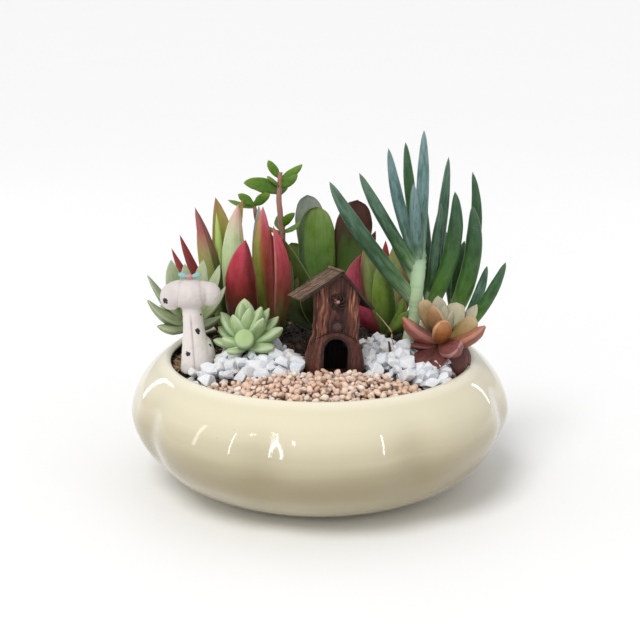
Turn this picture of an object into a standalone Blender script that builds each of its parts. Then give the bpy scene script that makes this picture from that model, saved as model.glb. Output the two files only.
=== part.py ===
"""Succulent dish garden in a lobed ceramic bowl.

A low glazed bowl is filled with soil. Rosettes, pointed red and green shoots, a paddle plant,
a leafy sprig and four shoots of blue finger leaves stand in plain holes in the soil, among two
beds of white chips and one of tan gravel, with a cast tree-trunk house and a small white dog.

Lengths are in millimetres and MM turns them into Blender's metres. X runs to the right, Y to
the back and Z up. The origin is under the middle of the bowl, at the foot.
"""

import math
import random

import bmesh
import bpy
from mathutils import Euler, Matrix, Vector

MM = 0.001

# Bowl
BOWL_RADIUS = 125.0
BOWL_HEIGHT = 86.0
BOWL_EQUATOR = 46.0
FOOT_INNER = 60.0
FOOT_OUTER = 72.0
FOOT_RECESS = 2.0
OPENING_RADIUS = 98.5
BOWL_SEGMENTS = 48
LOBES = 8
LOBE_TURN = math.radians(28.5)
LOBE_DEPTH = 0.022
LOBE_SHARPNESS = 9.0

# Soil and what lies on it
SOIL_SEGMENTS = 24
MOUND = ((0.0, 88.0), (32.0, 88.0), (64.0, 88.0), (80.0, 85.0), (93.0, 80.0), (99.8, 77.5))
CLEARANCE = 0.4
BED_LIFT = 0.5
BED_SLAB = 3.0
BED_RADIUS = 96.0
CHIP_SIZE = 11.0
GRAVEL_SIZE = 8.6
STONE_TILT = 0.5
STONE_MARGIN = 0.7
STONE_FREE = ((-48.0, -20.0, 14.0), (80.0, -17.0, 15.0))

# Stems in the soil
HOLE_CLEARANCE = 0.6
STEM_BOTTOM = 66.0
HOLE_BOTTOM = 65.0
STEM_SIDES = 8
FOOT_RISE = 4.0
SMOOTH_BELOW = math.radians(38.0)

# House
HOUSE_PLACE = Vector((8.6, -45.0, MOUND[0][1] + CLEARANCE))
HOUSE_TURN = math.radians(4.0)
HOUSE_LEAN = math.radians(7.0)
HOUSE_ROLL = math.radians(3.0)
HOUSE_WIDTH = 28.5
HOUSE_DEPTH = 20.0
RIDGE = Vector((-1.5, 0.0, 63.6))
ROOF_TURN = math.radians(16.0)
ROOF_SLOPE_LEFT = math.radians(33.0)
ROOF_SLOPE_RIGHT = math.radians(46.0)
ROOF_LENGTH = 33.0
ROOF_DEPTH = 25.0
ROOF_THICKNESS = 2.4
DOOR_WIDTH = 15.2
DOOR_TOP = 21.6
DOOR_DEPTH = 10.0
WINDOW_Z = 29.8
ORNAMENT_Z = 45.0

# Dog
DOG_PLACE = Vector((-80.0, -25.0, 82.0))
DOG_PAD_RADIUS = 14.2
DOG_HEAD_Z = 51.0
DOG_LEAN = 0.07


def material(name, colour, roughness, metallic=0.0):
    """A plain Principled material in a linear colour."""
    made = bpy.data.materials.new(name)
    made.use_nodes = True
    shader = made.node_tree.nodes["Principled BSDF"]
    shader.inputs["Base Color"].default_value = (*colour, 1.0)
    shader.inputs["Roughness"].default_value = roughness
    shader.inputs["Metallic"].default_value = metallic
    made.diffuse_color = (*colour, 1.0)
    return made


def add_object(name, bm, finish=None):
    """Put a bmesh drawn in millimetres into the scene as an object in metres."""
    bmesh.ops.triangulate(bm, faces=bm.faces)
    bmesh.ops.scale(bm, vec=(MM, MM, MM), verts=bm.verts)
    mesh = bpy.data.meshes.new(name)
    bm.to_mesh(mesh)
    bm.free()
    if finish:
        mesh.materials.append(finish)
    made = bpy.data.objects.new(name, mesh)
    bpy.context.scene.collection.objects.link(made)
    return made


def remove(objects):
    for used in objects:
        mesh = used.data
        bpy.data.objects.remove(used)
        bpy.data.meshes.remove(mesh)


def apply_modifiers(body):
    """Bake an object's modifiers into its mesh."""
    depsgraph = bpy.context.evaluated_depsgraph_get()
    baked = bpy.data.meshes.new_from_object(body.evaluated_get(depsgraph))
    body.modifiers.clear()
    old = body.data
    body.data = baked
    bpy.data.meshes.remove(old)
    baked.name = body.name


def keep_largest(body):
    """Drop the loose scraps that a Boolean can leave beside the main body."""
    bm = bmesh.new()
    bm.from_mesh(body.data)
    left = set(bm.verts)
    islands = []
    while left:
        island = set()
        front = [left.pop()]
        while front:
            vert = front.pop()
            island.add(vert)
            for edge in vert.link_edges:
                other = edge.other_vert(vert)
                if other in left:
                    left.remove(other)
                    front.append(other)
        islands.append(island)
    islands.sort(key=len)
    for island in islands[:-1]:
        bmesh.ops.delete(bm, geom=list(island), context="VERTS")
    bm.to_mesh(body.data)
    bm.free()


def boolean(body, others, operation, solver="EXACT"):
    """Join or cut a body with a list of closed solids, which are then removed."""
    group = bpy.data.collections.new(body.name + "_parts")
    bpy.context.scene.collection.children.link(group)
    for other in others:
        group.objects.link(other)
    step = body.modifiers.new("Boolean", "BOOLEAN")
    step.operation = operation
    step.solver = solver
    step.operand_type = "COLLECTION"
    step.collection = group
    apply_modifiers(body)
    remove(others)
    bpy.data.collections.remove(group)
    keep_largest(body)
    return body


def loft(rings, tip=None):
    """A closed tube through rings of points; it ends in a point or, like its start, in a fan."""
    bm = bmesh.new()
    loops = [[bm.verts.new(point) for point in ring] for ring in rings]
    count = len(loops[0])
    for lower, upper in zip(loops, loops[1:]):
        for i in range(count):
            j = (i + 1) % count
            if i < count // 2:
                bm.faces.new((lower[i], lower[j], upper[j]))
                bm.faces.new((lower[i], upper[j], upper[i]))
            else:
                bm.faces.new((lower[i], lower[j], upper[i]))
                bm.faces.new((lower[j], upper[j], upper[i]))
    for loop, point, last in ((loops[0], None, False), (loops[-1], tip, True)):
        middle = point if point is not None else sum((v.co for v in loop), Vector()) / count
        apex = bm.verts.new(middle)
        for i in range(count):
            j = (i + 1) % count
            corner = (loop[i], loop[j], apex) if last else (loop[j], loop[i], apex)
            bm.faces.new(corner)
    bmesh.ops.recalc_face_normals(bm, faces=bm.faces)
    return bm


def turned(profile, segments, shape=None):
    """Turn a closed outline of radius and height; a radius of 0 is a point on the axis."""
    bm = bmesh.new()
    loops = []
    for radius, height in profile:
        if radius == 0.0:
            loops.append([bm.verts.new((0.0, 0.0, height))])
            continue
        ring = []
        for i in range(segments):
            angle = 2.0 * math.pi * i / segments + LOBE_TURN
            r = shape(radius, height, angle) if shape else radius
            ring.append(bm.verts.new((r * math.sin(angle), -r * math.cos(angle), height)))
        loops.append(ring)
    for one, two in zip(loops, loops[1:]):
        for i in range(segments):
            j = (i + 1) % segments
            if len(one) == 1:
                bm.faces.new((one[0], two[i], two[j]))
            elif len(two) == 1:
                bm.faces.new((one[i], two[0], one[j]))
            else:
                bm.faces.new((one[i], two[i], two[j], one[j]))
    bmesh.ops.recalc_face_normals(bm, faces=bm.faces)
    return bm


# Bowl


def lobed(radius, height, angle):
    """Pull the wall in at the eight grooves, most at the belly and not at foot and rim."""
    groove = abs(math.cos(LOBES * (angle - LOBE_TURN) / 2.0)) ** LOBE_SHARPNESS
    low = max(0.0, min(1.0, (height - 8.0) / 30.0))
    high = max(0.0, min(1.0, (BOWL_HEIGHT + 4.0 - height) / 30.0))
    return radius * (1.0 - LOBE_DEPTH * groove * low * high)


BOWL_OUTSIDE = (
    (0.0, FOOT_RECESS), (FOOT_INNER - 2.0, FOOT_RECESS), (FOOT_INNER, 0.0), (FOOT_OUTER, 0.0),
    (88.0, 6.0), (104.0, 15.5), (117.0, 29.0), (BOWL_RADIUS, BOWL_EQUATOR), (124.0, 58.0),
    (118.5, 71.0), (110.0, 81.0),
)
BOWL_RIM = ((104.0, 85.2), (101.0, BOWL_HEIGHT), (OPENING_RADIUS, 84.0))
BOWL_INSIDE = (
    (101.0, 80.0), (113.0, 69.0), (119.0, 46.0), (106.0, 25.0), (74.0, 8.0), (0.0, 6.5),
)


def make_bowl():
    outside = turned(BOWL_OUTSIDE + BOWL_RIM + BOWL_INSIDE, BOWL_SEGMENTS, bowl_shape)
    return add_object("bowl", outside, material("cream_glaze", (0.80, 0.74, 0.55), 0.12))


def bowl_shape(radius, height, angle):
    """The outside is lobed and the inside is round."""
    inside = any(radius == r and height == z for r, z in BOWL_INSIDE)
    return radius if inside else lobed(radius, height, angle)


# Soil


def mound_height(x, y):
    """The soil is level in the middle and falls towards the rim."""
    away = math.hypot(x, y)
    for (r1, z1), (r2, z2) in zip(MOUND, MOUND[1:]):
        if away <= r2:
            return z1 + (z2 - z1) * (away - r1) / (r2 - r1)
    return MOUND[-1][1]


def make_soil(stems):
    wall = []
    for r, z in reversed(BOWL_INSIDE[1:-1]):
        wall.append((r - 0.8, z + (0.5 if z < BOWL_EQUATOR else -0.3)))
    profile = [(0.0, BOWL_INSIDE[-1][1] + CLEARANCE)] + wall + list(reversed(MOUND))
    bm = turned(profile, SOIL_SEGMENTS)
    soil = add_object("soil", bm, material("potting_soil", (0.035, 0.022, 0.014), 0.95))
    cuts = [hole(x, y, radius + HOLE_CLEARANCE, HOLE_BOTTOM) for x, y, radius in stems]
    cuts.append(hole(DOG_PLACE.x, DOG_PLACE.y, DOG_PAD_RADIUS, DOG_PLACE.z - CLEARANCE))
    return boolean(soil, cuts, "DIFFERENCE")


def hole(x, y, radius, bottom):
    """A plain round hole, for a stem or for the level place that the dog stands on."""
    rings = []
    for z in (bottom, MOUND[0][1] + 20.0):
        rings.append(circle((x, y, z), radius, STEM_SIDES))
    return add_object("hole", loft(rings))


def circle(centre, radius, sides):
    """A level ring of points."""
    points = []
    for i in range(sides):
        angle = 2.0 * math.pi * (i + 0.5) / sides
        points.append(Vector(centre) + Vector((math.cos(angle), math.sin(angle), 0.0)) * radius)
    return points


# Stones


def inside_outline(outline, x, y):
    """Whether a point lies inside a closed outline."""
    inside = False
    for (x1, y1), (x2, y2) in zip(outline, outline[1:] + outline[:1]):
        if (y1 > y) != (y2 > y) and x < (x2 - x1) * (y - y1) / (y2 - y1) + x1:
            inside = not inside
    return inside


def edge_distance(outline, x, y):
    """How far a point lies from the nearest side of an outline."""
    best = 1e9
    for (x1, y1), (x2, y2) in zip(outline, outline[1:] + outline[:1]):
        dx, dy = x2 - x1, y2 - y1
        t = max(0.0, min(1.0, ((x - x1) * dx + (y - y1) * dy) / (dx * dx + dy * dy)))
        best = min(best, math.hypot(x - x1 - t * dx, y - y1 - t * dy))
    return best


def rim_arc(start, end, count=7):
    """Points along the rim between two angles, measured in degrees from the front."""
    points = []
    for i in range(count):
        angle = math.radians(start + (end - start) * i / (count - 1))
        points.append((BED_RADIUS * math.sin(angle), -BED_RADIUS * math.cos(angle)))
    return points


def stone(place, size, draw, angular, outline):
    """One stone: a small block knocked out of shape, kept inside the outline of its bed."""
    bm = bmesh.new()
    bmesh.ops.create_cube(bm, size=size)
    for vert in bm.verts:
        vert.co *= draw.uniform(1.0 - angular, 1.0 + angular)
    bmesh.ops.scale(bm, vec=(1.05, 0.88, 0.70), verts=bm.verts)
    tilt = [draw.uniform(-STONE_TILT, STONE_TILT) for _ in range(2)]
    turn = Euler((*tilt, draw.uniform(0.0, math.tau))).to_matrix()
    bmesh.ops.transform(bm, matrix=turn, verts=bm.verts)
    for vert in bm.verts:
        share = 1.0
        while share > 0.1 and not fits(outline, place, vert.co, share):
            share -= 0.1
        vert.co.x = place[0] + vert.co.x * share
        vert.co.y = place[1] + vert.co.y * share
        floor = mound_height(vert.co.x, vert.co.y) + BED_LIFT + 0.4 * BED_SLAB
        vert.co.z = max(place[2] + vert.co.z, floor)
    return add_object("stone", bm)


def fits(outline, place, corner, share):
    """Whether a corner, drawn in by a share towards its stone's middle, is inside the bed."""
    x, y = place[0] + corner.x * share, place[1] + corner.y * share
    return inside_outline(outline, x, y) and edge_distance(outline, x, y) > STONE_MARGIN


def stone_places(outline, size, draw):
    """Staggered rows of places in an outline, moved at random and not under a low rosette."""
    places = []
    step = size * 0.97
    rows = int(2.0 * BED_RADIUS / step)
    for row in range(rows + 1):
        for column in range(rows + 1):
            x = -BED_RADIUS + (column + 0.5 * (row % 2)) * step + draw.uniform(-0.14, 0.14) * size
            y = -BED_RADIUS + row * step * 0.9 + draw.uniform(-0.14, 0.14) * size
            if inside_outline(outline, x, y) and edge_distance(outline, x, y) > size * 0.28:
                if all(math.hypot(x - cx, y - cy) > free for cx, cy, free in STONE_FREE):
                    places.append((x, y))
    return places


def bed_slab(name, outline, finish):
    """A thin layer of even thickness over the mound, cut to an outline."""
    lower = [(r, z + BED_LIFT) for r, z in MOUND]
    upper = [(r, z + BED_LIFT + BED_SLAB) for r, z in reversed(MOUND)]
    slab = add_object(name, turned(lower + upper, SOIL_SEGMENTS), finish)
    rings = []
    for z in (MOUND[-1][1] - 10.0, MOUND[0][1] + 20.0):
        rings.append([Vector((x, y, z)) for x, y in outline])
    return boolean(slab, [add_object("outline", prism(rings))], "INTERSECT")


def prism(rings):
    """A straight block between two outlines that may bend inwards."""
    bm = bmesh.new()
    loops = [[bm.verts.new(point) for point in ring] for ring in rings]
    count = len(loops[0])
    for i in range(count):
        j = (i + 1) % count
        bm.faces.new((loops[0][i], loops[0][j], loops[1][j], loops[1][i]))
    for loop in loops:
        bm.faces.new(loop)
    bmesh.ops.recalc_face_normals(bm, faces=bm.faces)
    return bm


def make_bed(name, outline, size, angular, heap, seed, finish, stems):
    """A thin slab with stones fused into it; heap raises the middle of the bed."""
    draw = random.Random(seed)
    bed = bed_slab(name, outline, finish)
    stones = []
    for x, y in stone_places(outline, size, draw):
        away = min(1.0, edge_distance(outline, x, y) / (size * 1.8))
        z = mound_height(x, y) + BED_SLAB + heap * away + draw.uniform(0.0, 0.16) * size
        broad = size * draw.uniform(0.86, 1.10)
        stones.append(stone((x, y, z), broad, draw, angular, outline))
    boolean(bed, stones, "UNION", "MANIFOLD")
    cuts = []
    for x, y, radius in stems:
        if inside_outline(outline, x, y) or edge_distance(outline, x, y) < radius + 1.0:
            cuts.append(hole(x, y, radius + HOLE_CLEARANCE, HOLE_BOTTOM))
    if cuts:
        boolean(bed, cuts, "DIFFERENCE", "MANIFOLD")
    return bed


LEFT_OUTLINE = (
    rim_arc(-67.0, -52.0, 4)
    + [(-50.0, -64.0), (-30.0, -61.0), (-11.5, -60.5), (-11.5, -38.0), (-17.0, -24.0), (-22.0, -5.0)]
    + [(-30.0, 3.0), (-61.0, 2.0), (-64.0, -8.0), (-64.5, -20.0), (-66.0, -33.0), (-73.0, -40.0)]
)
RIGHT_OUTLINE = (
    [(30.0, -58.0), (44.0, -62.0), (62.0, -67.0)] + rim_arc(46.0, 74.0, 6)
    + [(70.0, -8.0), (52.0, -4.0), (46.0, 12.0), (27.0, 15.0), (28.5, -30.0)]
)
TAN_OUTLINE = (
    rim_arc(-50.5, 44.5, 14)
    + [(61.0, -69.5), (43.0, -64.5), (25.5, -60.5), (14.0, -60.5), (-6.0, -62.5), (-17.0, -62.5)]
    + [(-29.5, -63.5), (-50.0, -66.5)]
)


# Leaves

# A leaf's section: across and through, with a flatter upper face on the blades.
BLADE_SECTION = ((1.0, 0.0), (0.5, 0.34), (-0.5, 0.34), (-1.0, 0.0), (-0.5, -0.66), (0.5, -0.66))
KEEL_SECTION = ((1.0, 0.0), (0.0, 0.42), (-1.0, 0.0), (0.0, -0.58))
FINGER_SECTION = ((1.0, 0.0), (0.5, 0.5), (-0.5, 0.5), (-1.0, 0.0), (-0.5, -0.5), (0.5, -0.5))

# Each form is its section and a list of (way along the leaf, share of width, share of thickness).
POINTED = (BLADE_SECTION, ((0.0, 0.60, 0.95), (0.38, 1.0, 1.0), (0.74, 0.78, 0.62)))
KEELED = (KEEL_SECTION, POINTED[1])
PADDLE = (BLADE_SECTION, (
    (0.0, 0.30, 1.0), (0.30, 0.66, 0.95), (0.62, 1.0, 0.80), (0.84, 0.88, 0.65), (0.96, 0.5, 0.5)))
FINGER = (FINGER_SECTION, ((0.0, 0.80, 0.80), (0.35, 1.0, 1.0), (0.70, 0.92, 0.92), (0.90, 0.58, 0.58)))
TWIG = (KEEL_SECTION, ((0.0, 1.0, 1.0), (0.6, 0.8, 0.8)))
PLUMP = (KEEL_SECTION, ((0.0, 0.50, 0.70), (0.48, 1.0, 1.0), (0.84, 0.80, 0.70)))
OVAL = (KEEL_SECTION, ((0.0, 0.40, 0.9), (0.45, 1.0, 1.0), (0.85, 0.75, 0.8)))


def leaf(root, tip, width, thick, form, bow=(0.0, 0.0, 0.0), face=(0.0, 0.0, 1.0)):
    """A leaf from root to tip; bow bends it aside and face is where its upper side looks."""
    root, tip = Vector(root), Vector(tip)
    middle = (root + tip) / 2.0 + Vector(bow)
    section, profile = form
    rings = []
    for way, broad, deep in profile:
        point = root * (1 - way) ** 2 + middle * 2 * way * (1 - way) + tip * way ** 2
        along = ((middle - root) * (1 - way) + (tip - middle) * way).normalized()
        across = along.cross(Vector(face)).normalized()
        through = across.cross(along)
        ring = []
        for a, b in section:
            ring.append(point + across * a * broad * width / 2.0 + through * b * deep * thick)
        rings.append(ring)
    return add_object("leaf", loft(rings, tip))


def stem(path, radii):
    """A stem through points, a level ring of sides at each of them."""
    rings = [circle(point, radius, STEM_SIDES) for point, radius in zip(path, radii)]
    return loft(rings)


def make_plant(name, path, radii, leaves, finish):
    """A plant: one stem with all its leaves joined to it as one solid."""
    body = add_object(name, stem(path, radii), finish)
    return boolean(body, [leaf(*item) for item in leaves], "UNION", "MANIFOLD")


def spoke(centre, azimuth, rise, length, width, thick, form):
    """A rosette's leaf: out from the centre at an azimuth, up at a rise, bent upwards."""
    a, e = math.radians(azimuth), math.radians(rise)
    out = Vector((math.sin(a) * math.cos(e), -math.cos(a) * math.cos(e), math.sin(e)))
    root = Vector(centre)
    tip = root + out * length
    bow = Vector((0.0, 0.0, -0.12 * length * math.cos(e)))
    face = Vector((-math.sin(a) * 0.3, math.cos(a) * 0.3, 1.0))
    return (root, tip, width, thick, form, bow, face)


def toward(root, tip, width, thick, form, bow=(0.0, 0.0, 0.0), face=(0.0, 0.0, 1.0)):
    """A leaf given by where it starts and ends."""
    return (root, tip, width, thick, form, bow, face)


def foot_of(x, y):
    """Where a shoot's leaves spread from its stem, just above the soil."""
    return (x, y, mound_height(x, y) + FOOT_RISE)


VIEWER = (0.0, -1.0, 0.25)
TILTED = (0.0, -0.3, 1.0)
AWAY = (0.0, 1.0, 0.25)


def green_rosette_leaves():
    """The pale green rosette in front: tips as seen, then the far side by rule."""
    core = (-48.0, -20.0, 99.0)
    tips = (
        ((-49, -12, 127), 10.5, 7.0), ((-64, -17, 119), 10.0, 6.5), ((-38, -22, 123), 11.0, 7.0),
        ((-33, -15, 121), 9.5, 6.5), ((-26, -9, 112), 10.0, 6.5), ((-37, -31, 119), 10.5, 7.0),
        ((-24, -27, 111), 10.5, 6.5), ((-31, -39, 103), 11.0, 6.0), ((-48, -44, 107), 13.0, 8.0),
        ((-63, -34, 108), 10.5, 6.5), ((-69, -23, 103), 10.5, 6.0), ((-56, -26, 121), 9.5, 6.5),
        ((-45, -28, 124), 9.0, 6.0), ((-52, -17, 126), 8.5, 6.0), ((-60, -39, 102), 10.0, 5.5),
    )
    leaves = [toward(core, tip, w, t, PLUMP, (0, 0, -2.5)) for tip, w, t in tips]
    for azimuth in (142.0, 178.0, 214.0, 246.0):
        leaves.append(spoke(core, azimuth, 24.0, 22.0, 10.5, 6.5, PLUMP))
    for azimuth in (124.0, 166.0, 226.0):
        leaves.append(spoke(core, azimuth, 50.0, 21.0, 9.5, 6.5, PLUMP))
    return leaves


def ghost_rosette_leaves():
    """The grey-green rosette behind the dog, with longer pointed leaves."""
    core = (-86.0, 5.0, 106.0)
    tips = (
        ((-112, -6, 141), 9.0, 7.0, (-2, 0, -4)), ((-112, -12, 126), 11.0, 8.0, (-2, -1, -6)),
        ((-106, -14, 109), 11.5, 8.0, (0, 0, -6)), ((-99, 17, 145), 12.0, 6.5, (-3, 1, -2)),
        ((-89, 6, 146), 10.0, 6.0, (0, 2, 0)), ((-77, 13, 145), 10.5, 6.0, (2, 2, -2)),
        ((-66, 7, 144), 9.5, 7.0, (4, 0, -4)), ((-62, -1, 131), 11.0, 8.0, (3, 0, -6)),
        ((-64, -12, 115), 11.0, 8.0, (1, 0, -6)), ((-91, -7, 136), 10.5, 6.5, (0, -2, -5)),
    )
    leaves = [toward(core, tip, w, t, KEELED, bow, TILTED) for tip, w, t, bow in tips]
    for azimuth in (138.0, 174.0, 212.0, 246.0):
        leaves.append(spoke(core, azimuth, 22.0, 25.0, 11.0, 7.0, KEELED))
    return leaves


def orange_rosette_leaves():
    """The orange and brown rosette on the right, its lowest leaves hanging over the chips."""
    core = (80.0, -17.0, 99.0)
    tips = (
        ((53, -29, 117), 13.0, 8.0, (0, 0, -5)), ((66, -15, 127), 9.0, 6.0, (-2, 0, 0)),
        ((73, -22, 127), 11.5, 6.5, (-1, 0, 0)), ((76, -42, 118), 13.0, 7.5, (0, -2, -4)),
        ((88, -4, 125), 12.0, 6.5, (2, 0, -1)), ((78, -5, 129), 11.0, 6.0, (0, 2, 0)),
        ((102, -6, 121), 11.0, 6.5, (2, 0, -3)), ((94, -26, 119), 12.0, 7.0, (2, -1, -3)),
        ((106, -30, 112), 12.0, 7.0, (0, 0, -5)), ((79, -47, 104), 17.0, 8.0, (0, 0, -4)),
        ((60, -41, 104), 13.0, 6.0, (0, 0, -4)), ((88, -39, 92), 15.0, 5.5, (2, -3, 4)),
        ((73, -43, 97), 13.0, 5.0, (0, -3, 3)), ((99, -32, 98), 14.0, 5.5, (2, -2, 3)),
    )
    leaves = [toward(core, tip, w, t, PLUMP, bow) for tip, w, t, bow in tips]
    for azimuth in (112.0, 148.0, 184.0, 222.0):
        leaves.append(spoke(core, azimuth, 24.0, 23.0, 11.0, 6.5, PLUMP))
    return leaves


def red_shoot_left_leaves():
    foot = foot_of(-65.0, 31.0)
    return [
        toward(foot, (-95, 38, 158), 8.0, 4.0, POINTED, (-3, 0, 0), VIEWER),
        toward(foot, (-101, 31, 149), 7.0, 4.0, POINTED, (-5, 0, -2), VIEWER),
        toward(foot, (-83, 24, 180), 11.0, 5.0, POINTED, (4, -1, 0), VIEWER),
        toward(foot, (-70, 35, 183), 13.0, 5.0, POINTED, (3, 1, 0), VIEWER),
        toward(foot, (-84, 52, 160), 12.0, 5.0, POINTED, (0, 4, 0), AWAY),
        toward(foot, (-64, 56, 150), 11.0, 5.0, POINTED, (2, 4, 0), AWAY),
    ]


def red_shoot_middle_leaves():
    foot = foot_of(-49.0, 24.0)
    return [
        toward(foot, (-53, 22, 182), 16.0, 6.0, POINTED, (-5, 3, 0), VIEWER),
        toward(foot, (-49, 3, 162), 22.0, 8.0, POINTED, (0, -3, 0), VIEWER),
        toward(foot, (-55, 44, 160), 14.0, 5.5, POINTED, (0, 4, 0), AWAY),
        toward(foot, (-40, 44, 150), 12.0, 5.0, POINTED, (2, 3, 0), AWAY),
    ]


def red_shoot_right_leaves():
    foot = foot_of(-31.0, 24.0)
    return [
        toward(foot, (-38, 27, 180), 14.0, 6.0, POINTED, (-3, 2, 0), VIEWER),
        toward(foot, (-34, 17, 168), 9.0, 5.0, POINTED, (-1, 0, 0), VIEWER),
        toward(foot, (-28, 11, 166), 13.0, 5.0, POINTED, (3, -2, 0), VIEWER),
        toward(foot, (-20, 16, 146), 10.0, 5.0, POINTED, (3, 0, 0), VIEWER),
        toward(foot, (-32, 39, 142), 11.0, 5.0, POINTED, (0, 2, 0), AWAY),
        toward(foot, (-15, 33, 130), 10.0, 5.0, POINTED, (2, 2, -2), AWAY),
    ]


def green_shoot_leaves():
    foot = foot_of(43.0, 30.0)
    return [
        toward(foot, (27, 20, 148), 18.0, 5.0, POINTED, (-12, -4, 2), VIEWER),
        toward(foot, (29, 26, 152), 12.0, 5.0, POINTED, (2, 0, 0), VIEWER),
        toward(foot, (38, 12, 146), 18.0, 6.5, POINTED, (4, -2, 0), VIEWER),
        toward(foot, (52, 41, 152), 13.0, 5.5, POINTED, (3, 1, 0), VIEWER),
        toward(foot, (44, 54, 149), 11.0, 5.0, POINTED, (2, 4, 0), AWAY),
        toward(foot, (56, 24, 118), 11.0, 5.0, POINTED, (3, -2, -3), VIEWER),
        toward(foot, (60, 50, 134), 11.0, 5.0, POINTED, (2, 3, -2), AWAY),
        toward(foot, (25, 22, 120), 15.0, 5.0, POINTED, (-5, -3, -2), VIEWER),
    ]


def paddle_plant_leaves():
    foot = foot_of(8.0, 49.0)
    return [
        toward(foot, (-9, 66, 180), 24.0, 5.0, PADDLE, (-3, 2, 0), VIEWER),
        toward(foot, (-2, 42, 177), 25.0, 6.0, PADDLE, (1, -4, 0), VIEWER),
        toward(foot, (-20, 60, 146), 14.0, 5.0, PADDLE, (-3, 2, 0), VIEWER),
        toward(foot, (26, 47, 180), 24.0, 5.5, PADDLE, (3, -1, 0), VIEWER),
        toward(foot, (37, 64, 155), 16.0, 5.0, PADDLE, (3, 3, 0), VIEWER),
        toward((7, 48, 98), (-24, 33, 156), 25.0, 5.5, POINTED, (-7, 2, 2), VIEWER),
        toward(foot, (14, 82, 150), 22.0, 5.0, PADDLE, (0, 4, -4), AWAY),
    ]


def sprig_leaves():
    """The leafy sprig: opposite pairs up a thin stem and a bent side branch."""
    return [
        toward((-27, 55, 195), (-36, 53, 207), 6.5, 2.6, OVAL, (-2, 0, 2), VIEWER),
        toward((-27, 55, 195), (-13, 55, 204), 6.5, 2.6, OVAL, (1, 0, -1), VIEWER),
        toward((-27, 55, 189), (-35, 51, 194), 6.0, 2.6, OVAL, (0, 0, 0), VIEWER),
        toward((-27, 55, 189), (-17, 51, 194), 6.5, 2.6, OVAL, (0, 0, 0), VIEWER),
        toward((-28, 55, 181), (-50, 53, 191), 10.0, 3.0, OVAL, (0, 0, 4), VIEWER),
        toward((-28, 55, 181), (-26, 70, 188), 8.5, 2.6, OVAL, (0, 0, 1)),
        toward((-27, 55, 158), (-41, 50, 166), 7.0, 2.6, OVAL, (0, 0, 1)),
        toward((-27, 55, 158), (-12, 54, 168), 8.0, 2.6, OVAL, (1, 0, -2)),
        toward((-27, 55, 160), (-21, 48, 172), 6.0, 2.6, OVAL, (0, 0, 0), VIEWER),
        toward((-27, 55, 158), (-28, 71, 166), 8.5, 2.6, OVAL, (0, 0, -1)),
        toward((-29, 55, 148), (-46, 56, 162), 4.5, 4.5, TWIG, (0, 0, -1)),
        toward((-44, 56, 160), (-51, 56, 181), 4.0, 4.0, TWIG, (-2, 0, 0)),
        toward((-50, 56, 176), (-66, 58, 181), 7.0, 2.6, OVAL, (0, 0, 1), VIEWER),
        toward((-50, 56, 176), (-37, 51, 185), 7.0, 2.6, OVAL, (0, 0, 0), VIEWER),
        toward((-45, 56, 161), (-58, 60, 166), 7.0, 2.6, OVAL, (0, 0, 0)),
    ]


CHALK_STEMS = {
    "chalk_shoot_1": (
        ((58, 5, STEM_BOTTOM), (58, 5, 101), (61, 6, 118), (65, 11, 150)), (4.2, 4.3, 4.6, 3.2)),
    "chalk_shoot_2": (((73, 22, STEM_BOTTOM), (73, 22, 110), (75, 23, 128)), (3.4, 3.2, 2.6)),
    "chalk_shoot_3": (((90, 26, STEM_BOTTOM), (90, 26, 104), (92, 27, 118)), (3.2, 3.0, 2.4)),
    "chalk_shoot_4": (((92, 6, STEM_BOTTOM), (92, 6, 100), (97, 7, 106)), (2.8, 2.6, 2.2)),
}
CHALK_LEAVES = {
    "chalk_shoot_1": (
        ((60, 5, 116), (6, -14, 204), 10.0, (-3, 0, -5)), ((62, 8, 134), (24, -8, 209), 8.5, (-3, 0, -4)),
        ((64, 9, 142), (44, 8, 222), 8.0, (-2, 0, 0)), ((65, 11, 146), (56, 33, 221), 8.0, (-1, 2, 0)),
        ((65, 10, 146), (60, -4, 203), 7.5, (-1, -1, 0)), ((65, 11, 144), (67, 9, 234), 9.0, (2, 0, 0)),
        ((63, 8, 136), (40, 28, 190), 7.5, (-2, 3, 0)),
    ),
    "chalk_shoot_2": (
        ((74, 22, 120), (92, 4, 193), 9.5, (10, -3, 0)), ((75, 23, 122), (80, 17, 182), 7.5, (-1, -2, 0)),
        ((74, 23, 118), (88, 46, 210), 8.0, (-1, 0, 2)), ((74, 22, 114), (72, 48, 176), 8.0, (-2, 4, 0)),
    ),
    "chalk_shoot_3": (
        ((92, 27, 112), (99, 14, 182), 11.0, (11, -4, 0)), ((92, 27, 112), (97, 30, 156), 8.0, (-3, 2, 0)),
        ((91, 26, 110), (103, 46, 198), 8.5, (10, 3, 2)), ((91, 26, 108), (86, 60, 158), 8.0, (0, 3, -3)),
    ),
    "chalk_shoot_4": (
        ((95, 6, 102), (120, 5, 146), 8.0, (4, 0, -5)), ((94, 6, 103), (112, 24, 140), 7.5, (3, 0, -3)),
    ),
}


# House


def house_body():
    """The trunk: a rounded box that flares into roots at the ground."""
    rings = []
    levels = ((-4.0, 1.22), (6.0, 1.21), (12.0, 1.16), (17.0, 1.09), (24.0, 1.0), (RIDGE.z + 3.0, 1.0))
    for height, flare in levels:
        ring = []
        for i in range(16):
            angle = 2.0 * math.pi * (i + 0.5) / 16
            root = 1.0 + (flare - 1.0) * 0.30 * math.cos(4.0 * angle + 0.6)
            x = math.copysign(abs(math.cos(angle)) ** 0.7, math.cos(angle)) * HOUSE_WIDTH / 2.0
            y = math.copysign(abs(math.sin(angle)) ** 0.7, math.sin(angle)) * HOUSE_DEPTH / 2.0
            ring.append(Vector((x * flare * root, y * flare * root, height)))
        rings.append(ring)
    return loft(rings)


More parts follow.
